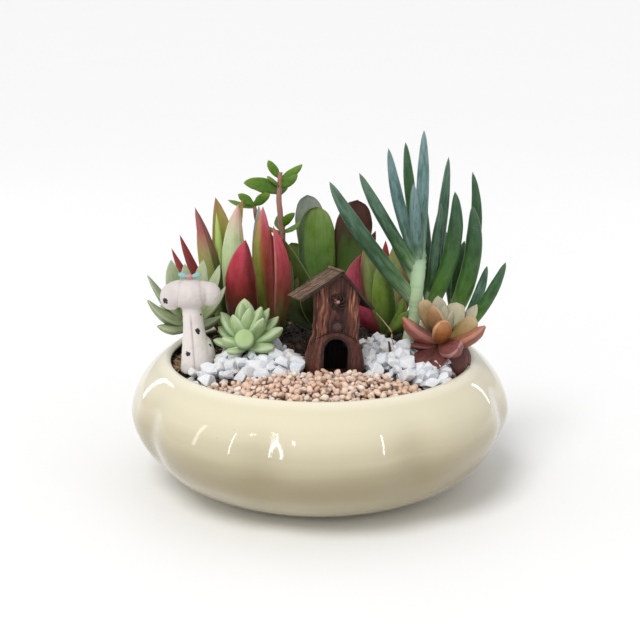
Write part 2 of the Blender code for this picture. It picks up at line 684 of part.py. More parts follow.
def disc(radius, depth, place, sides=12):
    """A short round boss that looks to the front."""
    bm = bmesh.new()
    bmesh.ops.create_cone(
        bm, cap_ends=True, segments=sides, radius1=radius, radius2=radius, depth=depth)
    matrix = Matrix.Translation(place) @ Matrix.Rotation(math.pi / 2.0, 4, "X")
    bmesh.ops.transform(bm, matrix=matrix, verts=bm.verts)
    return bm


def roof_slab(side, size, reach, lift):
    """A flat block along one slope of the roof: reach is down the slope and lift is off it."""
    slope = ROOF_SLOPE_LEFT if side < 0.0 else ROOF_SLOPE_RIGHT
    bm = bmesh.new()
    bmesh.ops.create_cube(bm, size=1.0)
    bmesh.ops.scale(bm, vec=size, verts=bm.verts)
    bmesh.ops.translate(bm, vec=(side * reach, 0.0, lift), verts=bm.verts)
    tilt = Matrix.Rotation(side * slope, 4, "Y")
    matrix = Matrix.Translation(RIDGE) @ Matrix.Rotation(ROOF_TURN, 4, "Z") @ tilt
    bmesh.ops.transform(bm, matrix=matrix, verts=bm.verts)
    return add_object("roof", bm)


def doorway():
    """The arched recess of the door."""
    half = DOOR_WIDTH / 2.0
    outline = [(-half, 1.5), (half, 1.5)]
    spring = DOOR_TOP - half
    for i in range(7):
        angle = math.pi * i / 6.0
        outline.append((half * math.cos(angle), spring + half * math.sin(angle)))
    front = -HOUSE_DEPTH
    back = -HOUSE_DEPTH / 2.0 + DOOR_DEPTH
    rings = [[Vector((x, y, z)) for x, z in outline] for y in (front, back)]
    return loft(rings)


def make_house():
    """The cast house: a trunk cut to the roof's slopes, two boards, a window and an ornament."""
    finish = material("brown_resin", (0.12, 0.045, 0.025), 0.55)
    house = add_object("tree_house", house_body(), finish)
    sides = (-1.0, 1.0)
    above = (2.5 * ROOF_LENGTH, 3.0 * ROOF_DEPTH, 40.0)
    boolean(house, [roof_slab(side, above, 0.0, 20.0) for side in sides], "DIFFERENCE", "MANIFOLD")
    board = (ROOF_LENGTH, ROOF_DEPTH, ROOF_THICKNESS)
    reach = ROOF_LENGTH / 2.0 - ROOF_THICKNESS * 0.4
    pieces = [roof_slab(side, board, reach, 0.0) for side in sides]
    face = -HOUSE_DEPTH / 2.0
    pieces.append(add_object("window", disc(4.3, 3.0, (0.0, face, WINDOW_Z))))
    pieces.append(add_object("ornament", disc(5.9, 3.0, (0.0, face, ORNAMENT_Z))))
    boolean(house, pieces, "UNION", "MANIFOLD")
    pane = disc(3.0, 2.4, (0.0, face - 1.2, WINDOW_Z), 10)
    cuts = [add_object("door", doorway()), add_object("pane", pane)]
    boolean(house, cuts, "DIFFERENCE", "MANIFOLD")
    stand(house, HOUSE_PLACE, Euler((-HOUSE_LEAN, HOUSE_ROLL, HOUSE_TURN)))
    return level_foot(house, HOUSE_PLACE.z)


def stand(body, place, turn):
    """Put a body modelled about its own foot in its place in the bowl."""
    body.data.transform(Matrix.Translation(place * MM) @ turn.to_matrix().to_4x4())


def level_foot(body, height):
    """Cut a leaning body level where it stands on the soil."""
    bm = bmesh.new()
    bmesh.ops.create_cube(bm, size=1.0)
    bmesh.ops.scale(bm, vec=(120.0, 120.0, 60.0), verts=bm.verts)
    x, y = body.data.vertices[0].co.x / MM, body.data.vertices[0].co.y / MM
    bmesh.ops.translate(bm, vec=(x, y, height - 30.0), verts=bm.verts)
    return boolean(body, [add_object("ground", bm)], "DIFFERENCE", "MANIFOLD")


# Dog


def ball(size, place, turn=(0.0, 0.0, 0.0), columns=9, rows=6):
    """An egg-shaped lump with three diameters."""
    bm = bmesh.new()
    bmesh.ops.create_uvsphere(bm, u_segments=columns, v_segments=rows, radius=0.5)
    bmesh.ops.scale(bm, vec=size, verts=bm.verts)
    matrix = Matrix.Translation(place) @ Euler(turn).to_matrix().to_4x4()
    bmesh.ops.transform(bm, matrix=matrix, verts=bm.verts)
    return add_object("lump", bm)


def make_dog():
    """The little white dog: it sits upright with long front legs and drooping ears."""
    finish = material("white_clay", (0.82, 0.80, 0.77), 0.5)
    rings = []
    for height, radius in ((0.0, 10.4), (7.0, 9.8), (19.0, 8.2), (32.0, 6.8), (48.0, 6.1)):
        rings.append(circle((0.8 - height * DOG_LEAN, -1.0, height), radius, 12))
    dog = add_object("dog", loft(rings), finish)
    head = 0.8 - DOG_HEAD_Z * DOG_LEAN
    lumps = [
        ball((18.0, 18.0, 28.0), (2.6, 2.6, 11.0)),
        ball((24.0, 20.0, 21.0), (head, -1.0, DOG_HEAD_Z)),
        ball((14.5, 12.0, 18.0), (head - 12.8, 0.0, DOG_HEAD_Z - 1.8), (0.0, 0.45, 0.0)),
        ball((14.5, 12.0, 16.5), (head + 12.6, 0.0, DOG_HEAD_Z - 0.6), (0.0, -0.60, 0.0)),
    ]
    boolean(dog, lumps, "UNION", "MANIFOLD")
    stand(dog, DOG_PLACE, Euler((0.0, 0.0, 0.0)))
    return level_foot(dog, DOG_PLACE.z)


def make_bow():
    """The bow glued to the dog's head: two loops and a knot."""
    finish = material("blue_clay", (0.25, 0.62, 0.66), 0.5)
    middle = DOG_PLACE + Vector((0.5 - DOG_HEAD_Z * DOG_LEAN, -2.0, DOG_HEAD_Z + 12.2))
    knot = ball((4.6, 4.0, 3.2), middle, (0.0, 0.0, 0.0), 7, 5)
    knot.name = "dog_bow"
    knot.data.materials.append(finish)
    loops = []
    for side in (-1.0, 1.0):
        place = middle + Vector((side * 4.2, 0.0, 1.0))
        loops.append(ball((8.0, 3.6, 4.2), place, (0.0, side * -0.35, 0.0), 7, 5))
    return boolean(knot, loops, "UNION", "MANIFOLD")


def shade(made):
    """Round pieces are smooth; edges sharper than SMOOTH_BELOW stay sharp."""
    made.data.shade_smooth()
    made.data.set_sharp_from_angle(angle=SMOOTH_BELOW)


def plant_list():
    """Every plant's name, stem path, stem radii, leaves, colour and roughness."""
    low = STEM_BOTTOM
    plants = [
        ("green_rosette", ((-48, -20, low), (-48, -20, 94), (-48, -20, 102), (-48, -20, 112)),
         (3.0, 3.0, 6.0, 2.5), green_rosette_leaves(), (0.36, 0.52, 0.30), 0.45),
        ("ghost_rosette", ((-86, 5, low), (-86, 5, 102), (-86, 5, 110), (-86, 5, 118)),
         (3.2, 3.2, 6.0, 2.5), ghost_rosette_leaves(), (0.32, 0.45, 0.28), 0.5),
        ("orange_rosette", ((80, -17, low), (80, -17, 94), (80, -17, 102), (80, -17, 111)),
         (3.0, 3.0, 6.5, 2.5), orange_rosette_leaves(), (0.50, 0.22, 0.10), 0.45),
        ("red_shoot_left", ((-65, 31, low), (-65, 31, 92), (-65, 31, 102)),
         (3.6, 3.6, 3.0), red_shoot_left_leaves(), (0.42, 0.12, 0.07), 0.35),
        ("red_shoot_middle", ((-49, 24, low), (-49, 24, 92), (-49, 24, 102)),
         (4.4, 4.4, 4.0), red_shoot_middle_leaves(), (0.45, 0.06, 0.07), 0.35),
        ("red_shoot_right", ((-31, 24, low), (-31, 24, 92), (-31, 24, 102)),
         (3.4, 3.4, 3.0), red_shoot_right_leaves(), (0.42, 0.08, 0.07), 0.35),
        ("green_shoot", ((43, 30, low), (43, 30, 92), (43, 30, 102)),
         (4.2, 4.2, 3.6), green_shoot_leaves(), (0.22, 0.33, 0.08), 0.35),
        ("paddle_plant", ((8, 49, low), (8, 49, 92), (8, 49, 103)),
         (4.4, 4.4, 4.0), paddle_plant_leaves(), (0.09, 0.24, 0.04), 0.3),
        ("sprig", ((-26, 56, low), (-26, 56, 120), (-26, 55, 152), (-28, 55, 180), (-27, 55, 198)),
         (2.6, 2.2, 2.0, 1.8, 1.4), sprig_leaves(), (0.14, 0.28, 0.06), 0.4),
    ]
    for name, (path, radii) in CHALK_STEMS.items():
        leaves = []
        for root, tip, width, bow in CHALK_LEAVES[name]:
            leaves.append(toward(root, tip, width, width * 0.8, FINGER, bow, VIEWER))
        plants.append((name, path, radii, leaves, (0.08, 0.22, 0.16), 0.5))
    return plants


def main():
    for old in list(bpy.data.objects):
        bpy.data.objects.remove(old)
    plants = plant_list()
    stems = [(path[0][0], path[0][1], radii[0]) for _, path, radii, *_ in plants]
    make_bowl()
    make_soil(stems)
    white = material("white_stone", (0.80, 0.81, 0.84), 0.6)
    tan = material("tan_stone", (0.52, 0.36, 0.25), 0.6)
    make_bed("white_chips_left", LEFT_OUTLINE, CHIP_SIZE, 0.16, 0.8, 11, white, stems)
    make_bed("white_chips_right", RIGHT_OUTLINE, CHIP_SIZE, 0.16, 0.8, 12, white, stems)
    make_bed("tan_gravel", TAN_OUTLINE, GRAVEL_SIZE, 0.08, 0.6, 13, tan, stems)
    make_house()
    make_dog()
    make_bow()
    for name, path, radii, leaves, colour, roughness in plants:
        make_plant(name, path, radii, leaves, material(name + "_skin", colour, roughness))
    for made in bpy.data.objects:
        shade(made)


main()
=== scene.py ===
"""Succulent dish garden, dressed for a close look.

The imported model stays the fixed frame. Each visible solid is replaced by a finer piece of the same
form: a glazed bowl, rough soil, loose chips and gravel, leaves with their own colours and bloom, a
bark house under worn roof boards and a little clay dog with a bow.

Lengths in the tables are in millimetres and MM turns them into metres. X runs to the right, Y to
the back and Z up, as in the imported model.
"""

import math
import random

import bmesh
import bpy
from bpy.props import FloatProperty, FloatVectorProperty, IntProperty, PointerProperty
from bpy.types import Operator, Panel, PropertyGroup
from mathutils import Euler, Matrix, Vector, noise


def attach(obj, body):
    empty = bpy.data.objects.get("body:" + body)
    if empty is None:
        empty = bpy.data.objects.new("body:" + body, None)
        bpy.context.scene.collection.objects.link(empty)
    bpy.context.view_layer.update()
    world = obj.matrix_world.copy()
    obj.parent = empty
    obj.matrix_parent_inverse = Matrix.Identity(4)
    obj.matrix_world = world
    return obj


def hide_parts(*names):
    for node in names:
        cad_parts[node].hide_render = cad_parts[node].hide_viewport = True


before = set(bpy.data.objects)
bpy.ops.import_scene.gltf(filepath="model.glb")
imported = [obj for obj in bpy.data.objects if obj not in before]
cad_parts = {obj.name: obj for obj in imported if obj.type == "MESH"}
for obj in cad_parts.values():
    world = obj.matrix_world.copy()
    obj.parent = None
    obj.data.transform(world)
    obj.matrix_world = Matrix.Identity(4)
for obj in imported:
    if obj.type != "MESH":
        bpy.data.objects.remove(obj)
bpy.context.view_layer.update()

bl_info = {
    "name": "Succulent Dish Garden",
    "version": (1, 0, 0),
    "blender": (4, 5, 0),
    "location": "3D View > Sidebar > Dish Garden",
    "description": "Dresses a packed dish garden with leaves, stones, glaze and bark",
    "category": "Object",
}

MM = 0.001
BODY = "root"
NOISE_SEED = 3

# Soil surface: radius and height of each bend, from the middle to the wall of the bowl.
MOUND = ((0, 88), (32, 88), (64, 88), (80, 85), (93, 80), (99.8, 77.5))


# Settings that a user would change


def colour(name, default, description):
    """A colour setting in linear light."""
    return FloatVectorProperty(
        name=name, description=description, subtype="COLOR", size=3, min=0.0, max=1.0, default=default)


def length(name, default, description):
    """A length setting, given in millimetres and kept in metres."""
    return FloatProperty(
        name=name, description=description, unit="LENGTH", min=0.0, default=default * MM)


class BowlSettings(PropertyGroup):
    glaze: colour("Glaze", (0.70, 0.64, 0.465), "Colour of the cream glaze")
    # Mostly painted shade: the lower outer wall is darkened towards this colour, which glaze pooled in the
    # grooves also takes.
    pooled_and_shaded: colour("Pooled glaze", (0.32, 0.265, 0.147), "Colour where the glaze runs thick to the foot")
    groove_depth: FloatProperty(
        name="Groove depth", description="Share of the radius that a groove takes", default=0.030)
    lobes: IntProperty(name="Lobes", description="Number of lobes round the bowl", default=8)


class GroundSettings(PropertyGroup):
    soil: colour("Soil", (0.007, 0.004, 0.003), "Colour of the damp potting soil")
    fibre: colour("Fibre", (0.10, 0.050, 0.024), "Colour of the bark and root fibres in the soil")
    chip: colour("Chip", (0.79, 0.80, 0.82), "Colour of the white chips")
    chip_size: length("Chip size", 8.4, "Usual size of a white chip")
    gravel_size: length("Gravel size", 5.0, "Usual size of a gravel grain")
    litter: IntProperty(name="Litter", description="Number of crumbs and fibres on the soil", default=1500)
    seed: IntProperty(name="Seed", description="Which random fall of stones is used", default=5)


class LeafSettings(PropertyGroup):
    around: IntProperty(name="Sides", description="Sides of a leaf's mesh", default=20, min=8)
    along: IntProperty(name="Rings", description="Rings of a leaf's mesh", default=30, min=8)
    waver: length("Waver", 0.35, "How far a leaf strays from its even form")


class HouseSettings(PropertyGroup):
    bark: colour("Bark", (0.155, 0.048, 0.028), "Colour of the bark walls")
    worn: colour("Worn bark", (0.40, 0.185, 0.11), "Colour of the raised and rubbed bark")
    board: colour("Board", (0.31, 0.205, 0.14), "Colour of the roof's weathered boards")
    rows: IntProperty(name="Rows", description="Boards along each slope of the roof", default=3)


class DogSettings(PropertyGroup):
    clay: colour("Clay", (0.76, 0.70, 0.67), "Colour of the painted clay")
    spot: colour("Spots", (0.012, 0.010, 0.010), "Colour of the spots")
    bow: colour("Bow", (0.25, 0.47, 0.49), "Colour of the bow's loops")
    knot: colour("Knot", (0.62, 0.22, 0.28), "Colour of the bow's knot")
    grain: length("Grain", 0.62, "Size of the mesh that joins the dog's lumps")


class StageSettings(PropertyGroup):
    floor: colour("Floor", (0.94, 0.94, 0.94), "Colour of the floor")
    elevation: FloatProperty(
        name="Elevation", description="How far the camera looks down", unit="ROTATION",
        default=math.radians(15.5))
    distance: FloatProperty(
        name="Distance", description="From the camera to the garden's middle", unit="LENGTH",
        default=1.0)
    height: length("Aim", 109.0, "Height of the point that the camera looks at")
    lens: FloatProperty(name="Lens", description="Focal length in millimetres", default=85.2)


SETTINGS = {
    "garden_bowl": BowlSettings, "garden_ground": GroundSettings, "garden_leaf": LeafSettings,
    "garden_house": HouseSettings, "garden_dog": DogSettings, "garden_stage": StageSettings,
}


# Shader nodes


class Signal:
    """A number that runs between shader nodes; sums on it add Math nodes."""

    def __init__(self, paint, socket):
        self.paint = paint
        self.socket = socket

    def sum(self, operation, *values):
        made = self.paint.node("Math", {"operation": operation}, dict(enumerate(values)))
        return Signal(self.paint, made.outputs[0])

    def __add__(self, other):
        return self.sum("ADD", self, other)

    def __sub__(self, other):
        return self.sum("SUBTRACT", self, other)

    def __rsub__(self, other):
        return self.sum("SUBTRACT", other, self)

    def __mul__(self, other):
        return self.sum("MULTIPLY", self, other)

    def __abs__(self):
        return self.sum("ABSOLUTE", self)

    __radd__ = __add__
    __rmul__ = __mul__

    def most(self, other):
        return self.sum("MAXIMUM", self, other)

    def step(self, low, high):
        """Runs softly from 0 at low to 1 at high."""
        settings = {"interpolation_type": "SMOOTHSTEP"}
        made = self.paint.node("MapRange", settings, {"Value": self, "From Min": low, "From Max": high})
        return Signal(self.paint, made.outputs["Result"])


class Paint:
    """One Principled material and short ways to add its nodes."""

    def __init__(self, name, **uniform):
        self.material = bpy.data.materials.new(name)
        self.material.use_nodes = True
        self.tree = self.material.node_tree
        self.shader = self.tree.nodes["Principled BSDF"]
        for key, value in uniform.items():
            self.feed(self.shader.inputs[key.replace("_", " ").title().replace("Ior", "IOR")], value)

    def feed(self, socket, value):
        if isinstance(value, Signal):
            value = value.socket
        if isinstance(value, bpy.types.NodeSocket):
            self.tree.links.new(value, socket)
        elif socket.type == "RGBA":
            socket.default_value = (*value[:3], 1.0)
        else:
            socket.default_value = value

    def node(self, kind, settings=None, values=None):
        """Add a node of a kind; its settings come first and then the values or links of its sockets."""
        made = self.tree.nodes.new("ShaderNode" + kind)
        for key, value in (settings or {}).items():
            if key == "stops":
                while len(made.color_ramp.elements) < len(value):
                    made.color_ramp.elements.new(0.5)
                for element, (place, shade) in zip(made.color_ramp.elements, value):
                    element.position = place
                    element.color = (*shade, 1.0)
            else:
                setattr(made, key, value)
        for key, value in (values or {}).items():
            self.feed(made.inputs[key], value)
        return made

    def place(self, stretch=(1.0, 1.0, 1.0)):
        """Object coordinates in metres, stretched along their axes."""
        made = self.node("TexCoord").outputs["Object"]
        if stretch == (1.0, 1.0, 1.0):
            return made
        return self.node("Mapping", None, {"Vector": made, "Scale": stretch}).outputs[0]

    def own(self, name):
        """A number that the mesh carries at each corner."""
        return Signal(self, self.node("Attribute", {"attribute_name": name}).outputs["Fac"])

    def joined(self, x, y, z):
        """A vector from three numbers."""
        return self.node("CombineXYZ", None, {"X": x, "Y": y, "Z": z}).outputs[0]

    def grain(self, scale, detail=3.0, vector=None, rough=0.5, distortion=0.0):
        """Soft noise between 0 and 1."""
        values = {"Vector": vector or self.place(), "Scale": scale, "Detail": detail,
                  "Roughness": rough, "Distortion": distortion}
        return Signal(self, self.node("TexNoise", None, values).outputs["Fac"])

    def cells(self, scale):
        """Distance from the middles of scattered cells."""
        values = {"Vector": self.place(), "Scale": scale}
        return Signal(self, self.node("TexVoronoi", None, values).outputs["Distance"])

    def ramp(self, value, stops):
        """A colour that changes with a number."""
        return self.node("ValToRGB", {"stops": stops}, {"Fac": value}).outputs["Color"]

    def mix(self, factor, one, two, blend="MIX"):
        """Blend two colours."""
        settings = {"data_type": "RGBA", "blend_type": blend}
        return self.node("Mix", settings, {0: factor, 6: one, 7: two}).outputs[2]

    def relief(self, height, depth, strength=1.0):
        """Feed a height, whose full range is depth in metres, to the normal."""
        values = {"Height": height, "Distance": depth, "Strength": strength}
        self.feed(self.shader.inputs["Normal"], self.node("Bump", None, values).outputs["Normal"])

    def finish(self, base, roughness):
        """Feed the colour and the roughness, and give the finished material."""
        self.feed(self.shader.inputs["Base Color"], base)
        self.feed(self.shader.inputs["Roughness"], roughness)
        return self.material


# Meshes


def smooth_curve(points):
    """A function through (place, value) pairs that never swings past them."""
    xs = [x for x, _ in points]
    ys = [y for _, y in points]
    slopes = [(y2 - y1) / (x2 - x1) for x1, x2, y1, y2 in zip(xs, xs[1:], ys, ys[1:])]
    tangents = [slopes[0]]
    for one, two in zip(slopes, slopes[1:]):
        tangents.append(0.0 if one * two <= 0.0 else 2.0 * one * two / (one + two))
    tangents.append(slopes[-1])

    def value(x):
        x = min(max(x, xs[0]), xs[-1])
        i = max(k for k in range(len(slopes)) if x >= xs[k])
        step = xs[i + 1] - xs[i]
        t = (x - xs[i]) / step
        rise = t * t * (3.0 - 2.0 * t)
        bend = tangents[i] * t * (1.0 - t) ** 2 - tangents[i + 1] * t * t * (1.0 - t)
        return ys[i] + (ys[i + 1] - ys[i]) * rise + step * bend
    return value


def smooth_path(points):
    """A function from 0 to 1 along an even curve through 3-D points."""
    count = len(points) - 1
    axes = [smooth_curve([(i / count, p[axis]) for i, p in enumerate(points)]) for axis in range(3)]
    return lambda t: Vector([axis(t) for axis in axes])


def mound_height(x, y):
    """Height of the soil at a place."""
    away = math.hypot(x, y)
    for (r1, z1), (r2, z2) in zip(MOUND, MOUND[1:]):
        if away <= r2:
            return z1 + (z2 - z1) * (away - r1) / (r2 - r1)
    return MOUND[-1][1]


def clamp(value):
    """Hold a number between 0 and 1."""
    return max(0.0, min(1.0, value))


def new_mesh(name, bm):
    """Turn a bmesh into a mesh and free it."""
    mesh = bpy.data.meshes.new(name)
    bm.to_mesh(mesh)
    bm.free()
    return mesh


def new_object(name, data):
    """Add an object to the scene."""
    made = bpy.data.objects.new(name, data)
    bpy.context.scene.collection.objects.link(made)
    return made


def add_piece(name, bm, materials, node, sharp=None):
    """Turn a bmesh drawn in millimetres into a finished piece that rides on the garden for a node."""
    bmesh.ops.scale(bm, vec=(MM, MM, MM), verts=bm.verts)
    mesh = new_mesh(name, bm)
    for used in materials:
        mesh.materials.append(used)
    mesh.shade_smooth()
    if sharp:
        mesh.set_sharp_from_angle(angle=math.radians(sharp))
    piece = new_object(name, mesh)
    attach(piece, BODY)
    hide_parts(node)


def discard(used):
    """Remove an object and its mesh."""
    mesh = used.data
    bpy.data.objects.remove(used)
    bpy.data.meshes.remove(mesh)


def settled(name, bm, steps):
    """Bake modifiers, given as (kind, settings), into a bmesh drawn in millimetres."""
    rough = new_object(name, new_mesh(name, bm))
    for kind, settings in steps:
        step = rough.modifiers.new(kind, kind)
        for key, value in settings.items():
            setattr(step, key, value)
    baked = rough.evaluated_get(bpy.context.evaluated_depsgraph_get()).to_mesh()
    bm = bmesh.new()
    bm.from_mesh(baked)
    discard(rough)
    return bm


def layer(bm, name):
    """A mesh's own number at each vertex."""
    return bm.verts.layers.float.get(name) or bm.verts.layers.float.new(name)


def cut_away(bm, place, out):
    """Cut off what lies beyond a plane and close the cut."""
    geom = list(bm.verts) + list(bm.edges) + list(bm.faces)
    bmesh.ops.bisect_plane(bm, geom=geom, plane_co=place, plane_no=out, clear_outer=True)
    bmesh.ops.holes_fill(bm, edges=[edge for edge in bm.edges if edge.is_boundary], sides=0)


def give_finish(verts, index):
    """Let the faces round some vertices wear one of their piece's materials."""
    for face in {face for vert in verts for face in vert.link_faces}:
        face.material_index = index


def ball(bm, size, place, turn=(0.0, 0.0, 0.0), columns=24, rows=16):
    """An egg-shaped lump with three diameters."""
    made = bmesh.ops.create_uvsphere(bm, u_segments=columns, v_segments=rows, radius=0.5)["verts"]
    matrix = Matrix.LocRotScale(Vector(place), Euler(turn), Vector(size))
    bmesh.ops.transform(bm, matrix=matrix, verts=made)
    return made


def block(bm, size, matrix, bevel, segments=1):
    """A block with rounded edges."""
    made = bmesh.ops.create_cube(bm, size=1.0)["verts"]
    bmesh.ops.scale(bm, vec=size, verts=made)
    edges = list({edge for vert in made for edge in vert.link_edges})
    result = bmesh.ops.bevel(
        bm, geom=edges, offset=bevel, offset_type="OFFSET", affect="EDGES", segments=segments,
        profile=0.5, material=-1)
    kept = {vert for vert in made if vert.is_valid}
    made = list({vert for face in result["faces"] for vert in face.verts} | kept)
    bmesh.ops.transform(bm, matrix=matrix, verts=made)
    return made


def rod(bm, path, radius, around, along, squash=1.0, up=(0.0, 0.0, 1.0)):
    """A round rod along a path; radius is a function of the way from 0 to 1."""
    made = bmesh.ops.create_uvsphere(bm, u_segments=around, v_segments=along, radius=1.0)["verts"]
    for vert in made:
        x, y, z = vert.co
        way = 0.5 - 0.5 * z
        flat = math.hypot(x, y) or 1.0
        if abs(z) > 0.9999:
            x = y = 0.0
        ahead = (path(min(1.0, way + 0.01)) - path(max(0.0, way - 0.01))).normalized()
        across = ahead.cross(Vector(up))
        across = across.normalized() if across.length > 1e-4 else Vector((1.0, 0.0, 0.0))
        through = across.cross(ahead)
        r = radius(way)
        vert.co = path(way) + across * (x / flat * r) + through * (y / flat * r * squash)
    return made


# Bowl

# Outside of the bowl from the foot ring to the middle of its inside: radius and height.
FOOT = ((0, 2), (56.5, 2), (58, 1.8), (60, 0.3), (60.8, 0), (70.6, 0), (72, 0.35))
WALL = (
    (72, 0.35), (88, 6), (104, 15.5), (117, 29), (124.9, 46), (124, 58), (118.5, 71),
    (110, 81), (104, 85.2), (101, 86), (98.5, 84), (101, 80), (113, 69),
    (119, 46), (106, 25), (74, 8), (0, 6.5),
)
BOWL_HEIGHT = 86.0
LOBE_TURN = math.radians(28.5)
LOBE_SHARPNESS = 9.0
BOWL_STEPS = 176


def soft_curve(points, steps):
    """Places along an even curve that passes close to a list of places in a plane."""
    points = [Vector(p) for p in points]
    firm = [points[0]]
    for one, two, three in zip(points, points[1:], points[2:]):
        firm.append(two - (one - 2.0 * two + three) / 6.0)
    firm.append(points[-1])
    firm = [2.0 * firm[0] - firm[1]] + firm + [2.0 * firm[-1] - firm[-2]]
    places = []
    for a, b, c, d in zip(firm, firm[1:], firm[2:], firm[3:]):
        for i in range(steps):
            t = i / steps
            places.append((
                a * (1.0 - t) ** 3 + b * (3.0 * t ** 3 - 6.0 * t ** 2 + 4.0)
                + c * (-3.0 * t ** 3 + 3.0 * t ** 2 + 3.0 * t + 1.0) + d * t ** 3) / 6.0)
    places.append(points[-1])
    return places


def spun(profile, steps, crest=0):
    """Turn an outline of radius and height round the Z axis; its points up to a crest are marked outer."""
    bm = bmesh.new()
    outer = layer(bm, "outer") if crest else None
    line = [bm.verts.new((radius, 0.0, height)) for radius, height in profile]
    if crest:
        for vert in line[:crest + 1]:
            vert[outer] = 1.0
    edges = [bm.edges.new(pair) for pair in zip(line, line[1:])]
    bmesh.ops.spin(
        bm, geom=line + edges, cent=(0.0, 0.0, 0.0), axis=(0.0, 0.0, 1.0), angle=math.tau,
        steps=steps, use_merge=True)
    bmesh.ops.remove_doubles(bm, verts=bm.verts, dist=1e-4)
    bmesh.ops.recalc_face_normals(bm, faces=bm.faces)
    return bm


def groove_at(x, y, z, lobes):
    """How deep in a groove a place on the wall is, from 0 to 1."""
    angle = math.atan2(x, -y)
    groove = abs(math.cos(lobes * (angle - LOBE_TURN) / 2.0)) ** LOBE_SHARPNESS
    return groove * clamp((z - 8.0) / 30.0) * clamp((90.0 - z) / 30.0)


def glaze_material(settings):
    """Thick cream glaze that pools in the grooves, painted shade that darkens the lower outer wall, and bare
    clay under the foot ring.
    """
    paint = Paint("cream_glaze", coat_weight=0.5, coat_roughness=0.03, ior=1.5, specular_ior_level=0.6)
    broad = paint.grain(14.0, 3.0)
    fine = paint.grain(160.0, 4.0)
    turned = paint.grain(1.0, 3.0, paint.place((9.0, 9.0, 110.0)))
    # Painted shade: the low share darkens the lower outer wall, most some 30 mm up; the grooves add a little
    # real glaze pooling.
    shade_and_pool = paint.own("low") + paint.own("groove") * 0.10 + (broad - 0.5) * 0.20 + (turned - 0.5) * 0.22
    base = paint.mix(shade_and_pool.step(0.0, 1.0), settings.glaze, settings.pooled_and_shaded)
    thin = paint.own("lip") * (0.55 + fine * 0.4)
    base = paint.mix(thin, base, (0.86, 0.81, 0.66))
    speck = 1.0 - paint.cells(70.0).step(0.035, 0.075)
    base = paint.mix(speck * fine.step(0.52, 0.60) * 0.35, base, (0.40, 0.30, 0.15))
    bare = paint.own("foot")
    base = paint.mix(bare, base, paint.mix(fine, (0.66, 0.60, 0.50), (0.80, 0.76, 0.68)))
    rough = bare * 0.75 + (0.07 + (fine - 0.5) * 0.05) * (1.0 - bare)
    paint.relief(broad * 0.6 + paint.grain(38.0, 2.0) * 0.3 + fine * 0.03, 0.0011, 0.55)
    return paint.finish(base, rough)


def make_bowl(settings):
    """The glazed bowl, whose grooves fade towards the rim and the foot."""
    profile = [Vector(p) for p in FOOT[:-1]] + soft_curve(WALL, 9)
    crest = max(range(len(profile)), key=lambda i: profile[i].y)
    bm = spun(profile, BOWL_STEPS, crest)
    outer, groove, lip, foot, low = (layer(bm, name) for name in ("outer", "groove", "lip", "foot", "low"))
    for vert in bm.verts:
        x, y, z = vert.co
        vert[groove] = groove_at(x, y, z, settings.lobes) * vert[outer]
        pull = 1.0 - settings.groove_depth * vert[groove]
        vert.co.x *= pull
        vert.co.y *= pull
        vert[lip] = max(0.0, 1.0 - abs(z - BOWL_HEIGHT) / 4.0)
        # Painted shade: the lower outer wall is marked for darkening, deepest some 30 mm up and easing off
        # towards the foot.
        vert[low] = clamp((78.0 - z) / 46.0) * (1.0 - 0.75 * clamp((32.0 - z) / 32.0)) * vert[outer]
        vert[foot] = 1.0 if z < 0.3 and math.hypot(x, y) > 50.0 else 0.0
    add_piece("bowl_glazed", bm, [glaze_material(settings)], "bowl")


# Soil

DOG_PLACE = Vector((-80.0, -25.0, 82.0))
DOG_PAD_RADIUS = 14.2
PAD_EDGE = 3.0
PAD_SINK = 0.6
SOIL_RINGS = 46
SOIL_STEPS = 150
SOIL_WALL = ((0, 7), (73.2, 8.5), (105.2, 25.5), (118.2, 45.7), (112.2, 68.7))


def pad_drop(x, y, z):
    """Lower the soil to the level place that the dog stands on."""
    away = math.hypot(x - DOG_PLACE.x, y - DOG_PLACE.y)
    share = clamp((DOG_PAD_RADIUS + PAD_EDGE - away) / PAD_EDGE)
    return z + (min(z, DOG_PLACE.z - PAD_SINK) - z) * share


def ground_at(x, y):
    """Height of the soil with the level place in it."""
    return pad_drop(x, y, mound_height(x, y))


def soil_material(settings):
    """Damp peat: near black with brown crumbs and pale fibres, and painted light that lifts the soil under
    the stone beds.
    """
    paint = Paint("potting_soil")
    lump = paint.grain(420.0, 6.0, rough=0.7)
    crumb = paint.cells(520.0)
    fibre = paint.grain(900.0, 3.0, paint.place((1.0, 0.12, 1.0)), distortion=1.6)
    base = paint.ramp(lump, (
        (0.30, settings.soil), (0.54, (0.016, 0.009, 0.006)), (0.70, (0.048, 0.025, 0.014))))
    base = paint.mix(fibre.step(0.62, 0.72) * 0.5, base, settings.fibre)
    # Painted light: the soil under the stone beds is lightened, so the shaded gaps between stones look brown
    # instead of black.
    base = paint.mix(paint.own("bed") * (0.35 + lump), base, (0.32, 0.235, 0.19))
    paint.relief(lump + crumb * 0.6, 0.0016)
    return paint.finish(base, 0.78 + lump * 0.2)


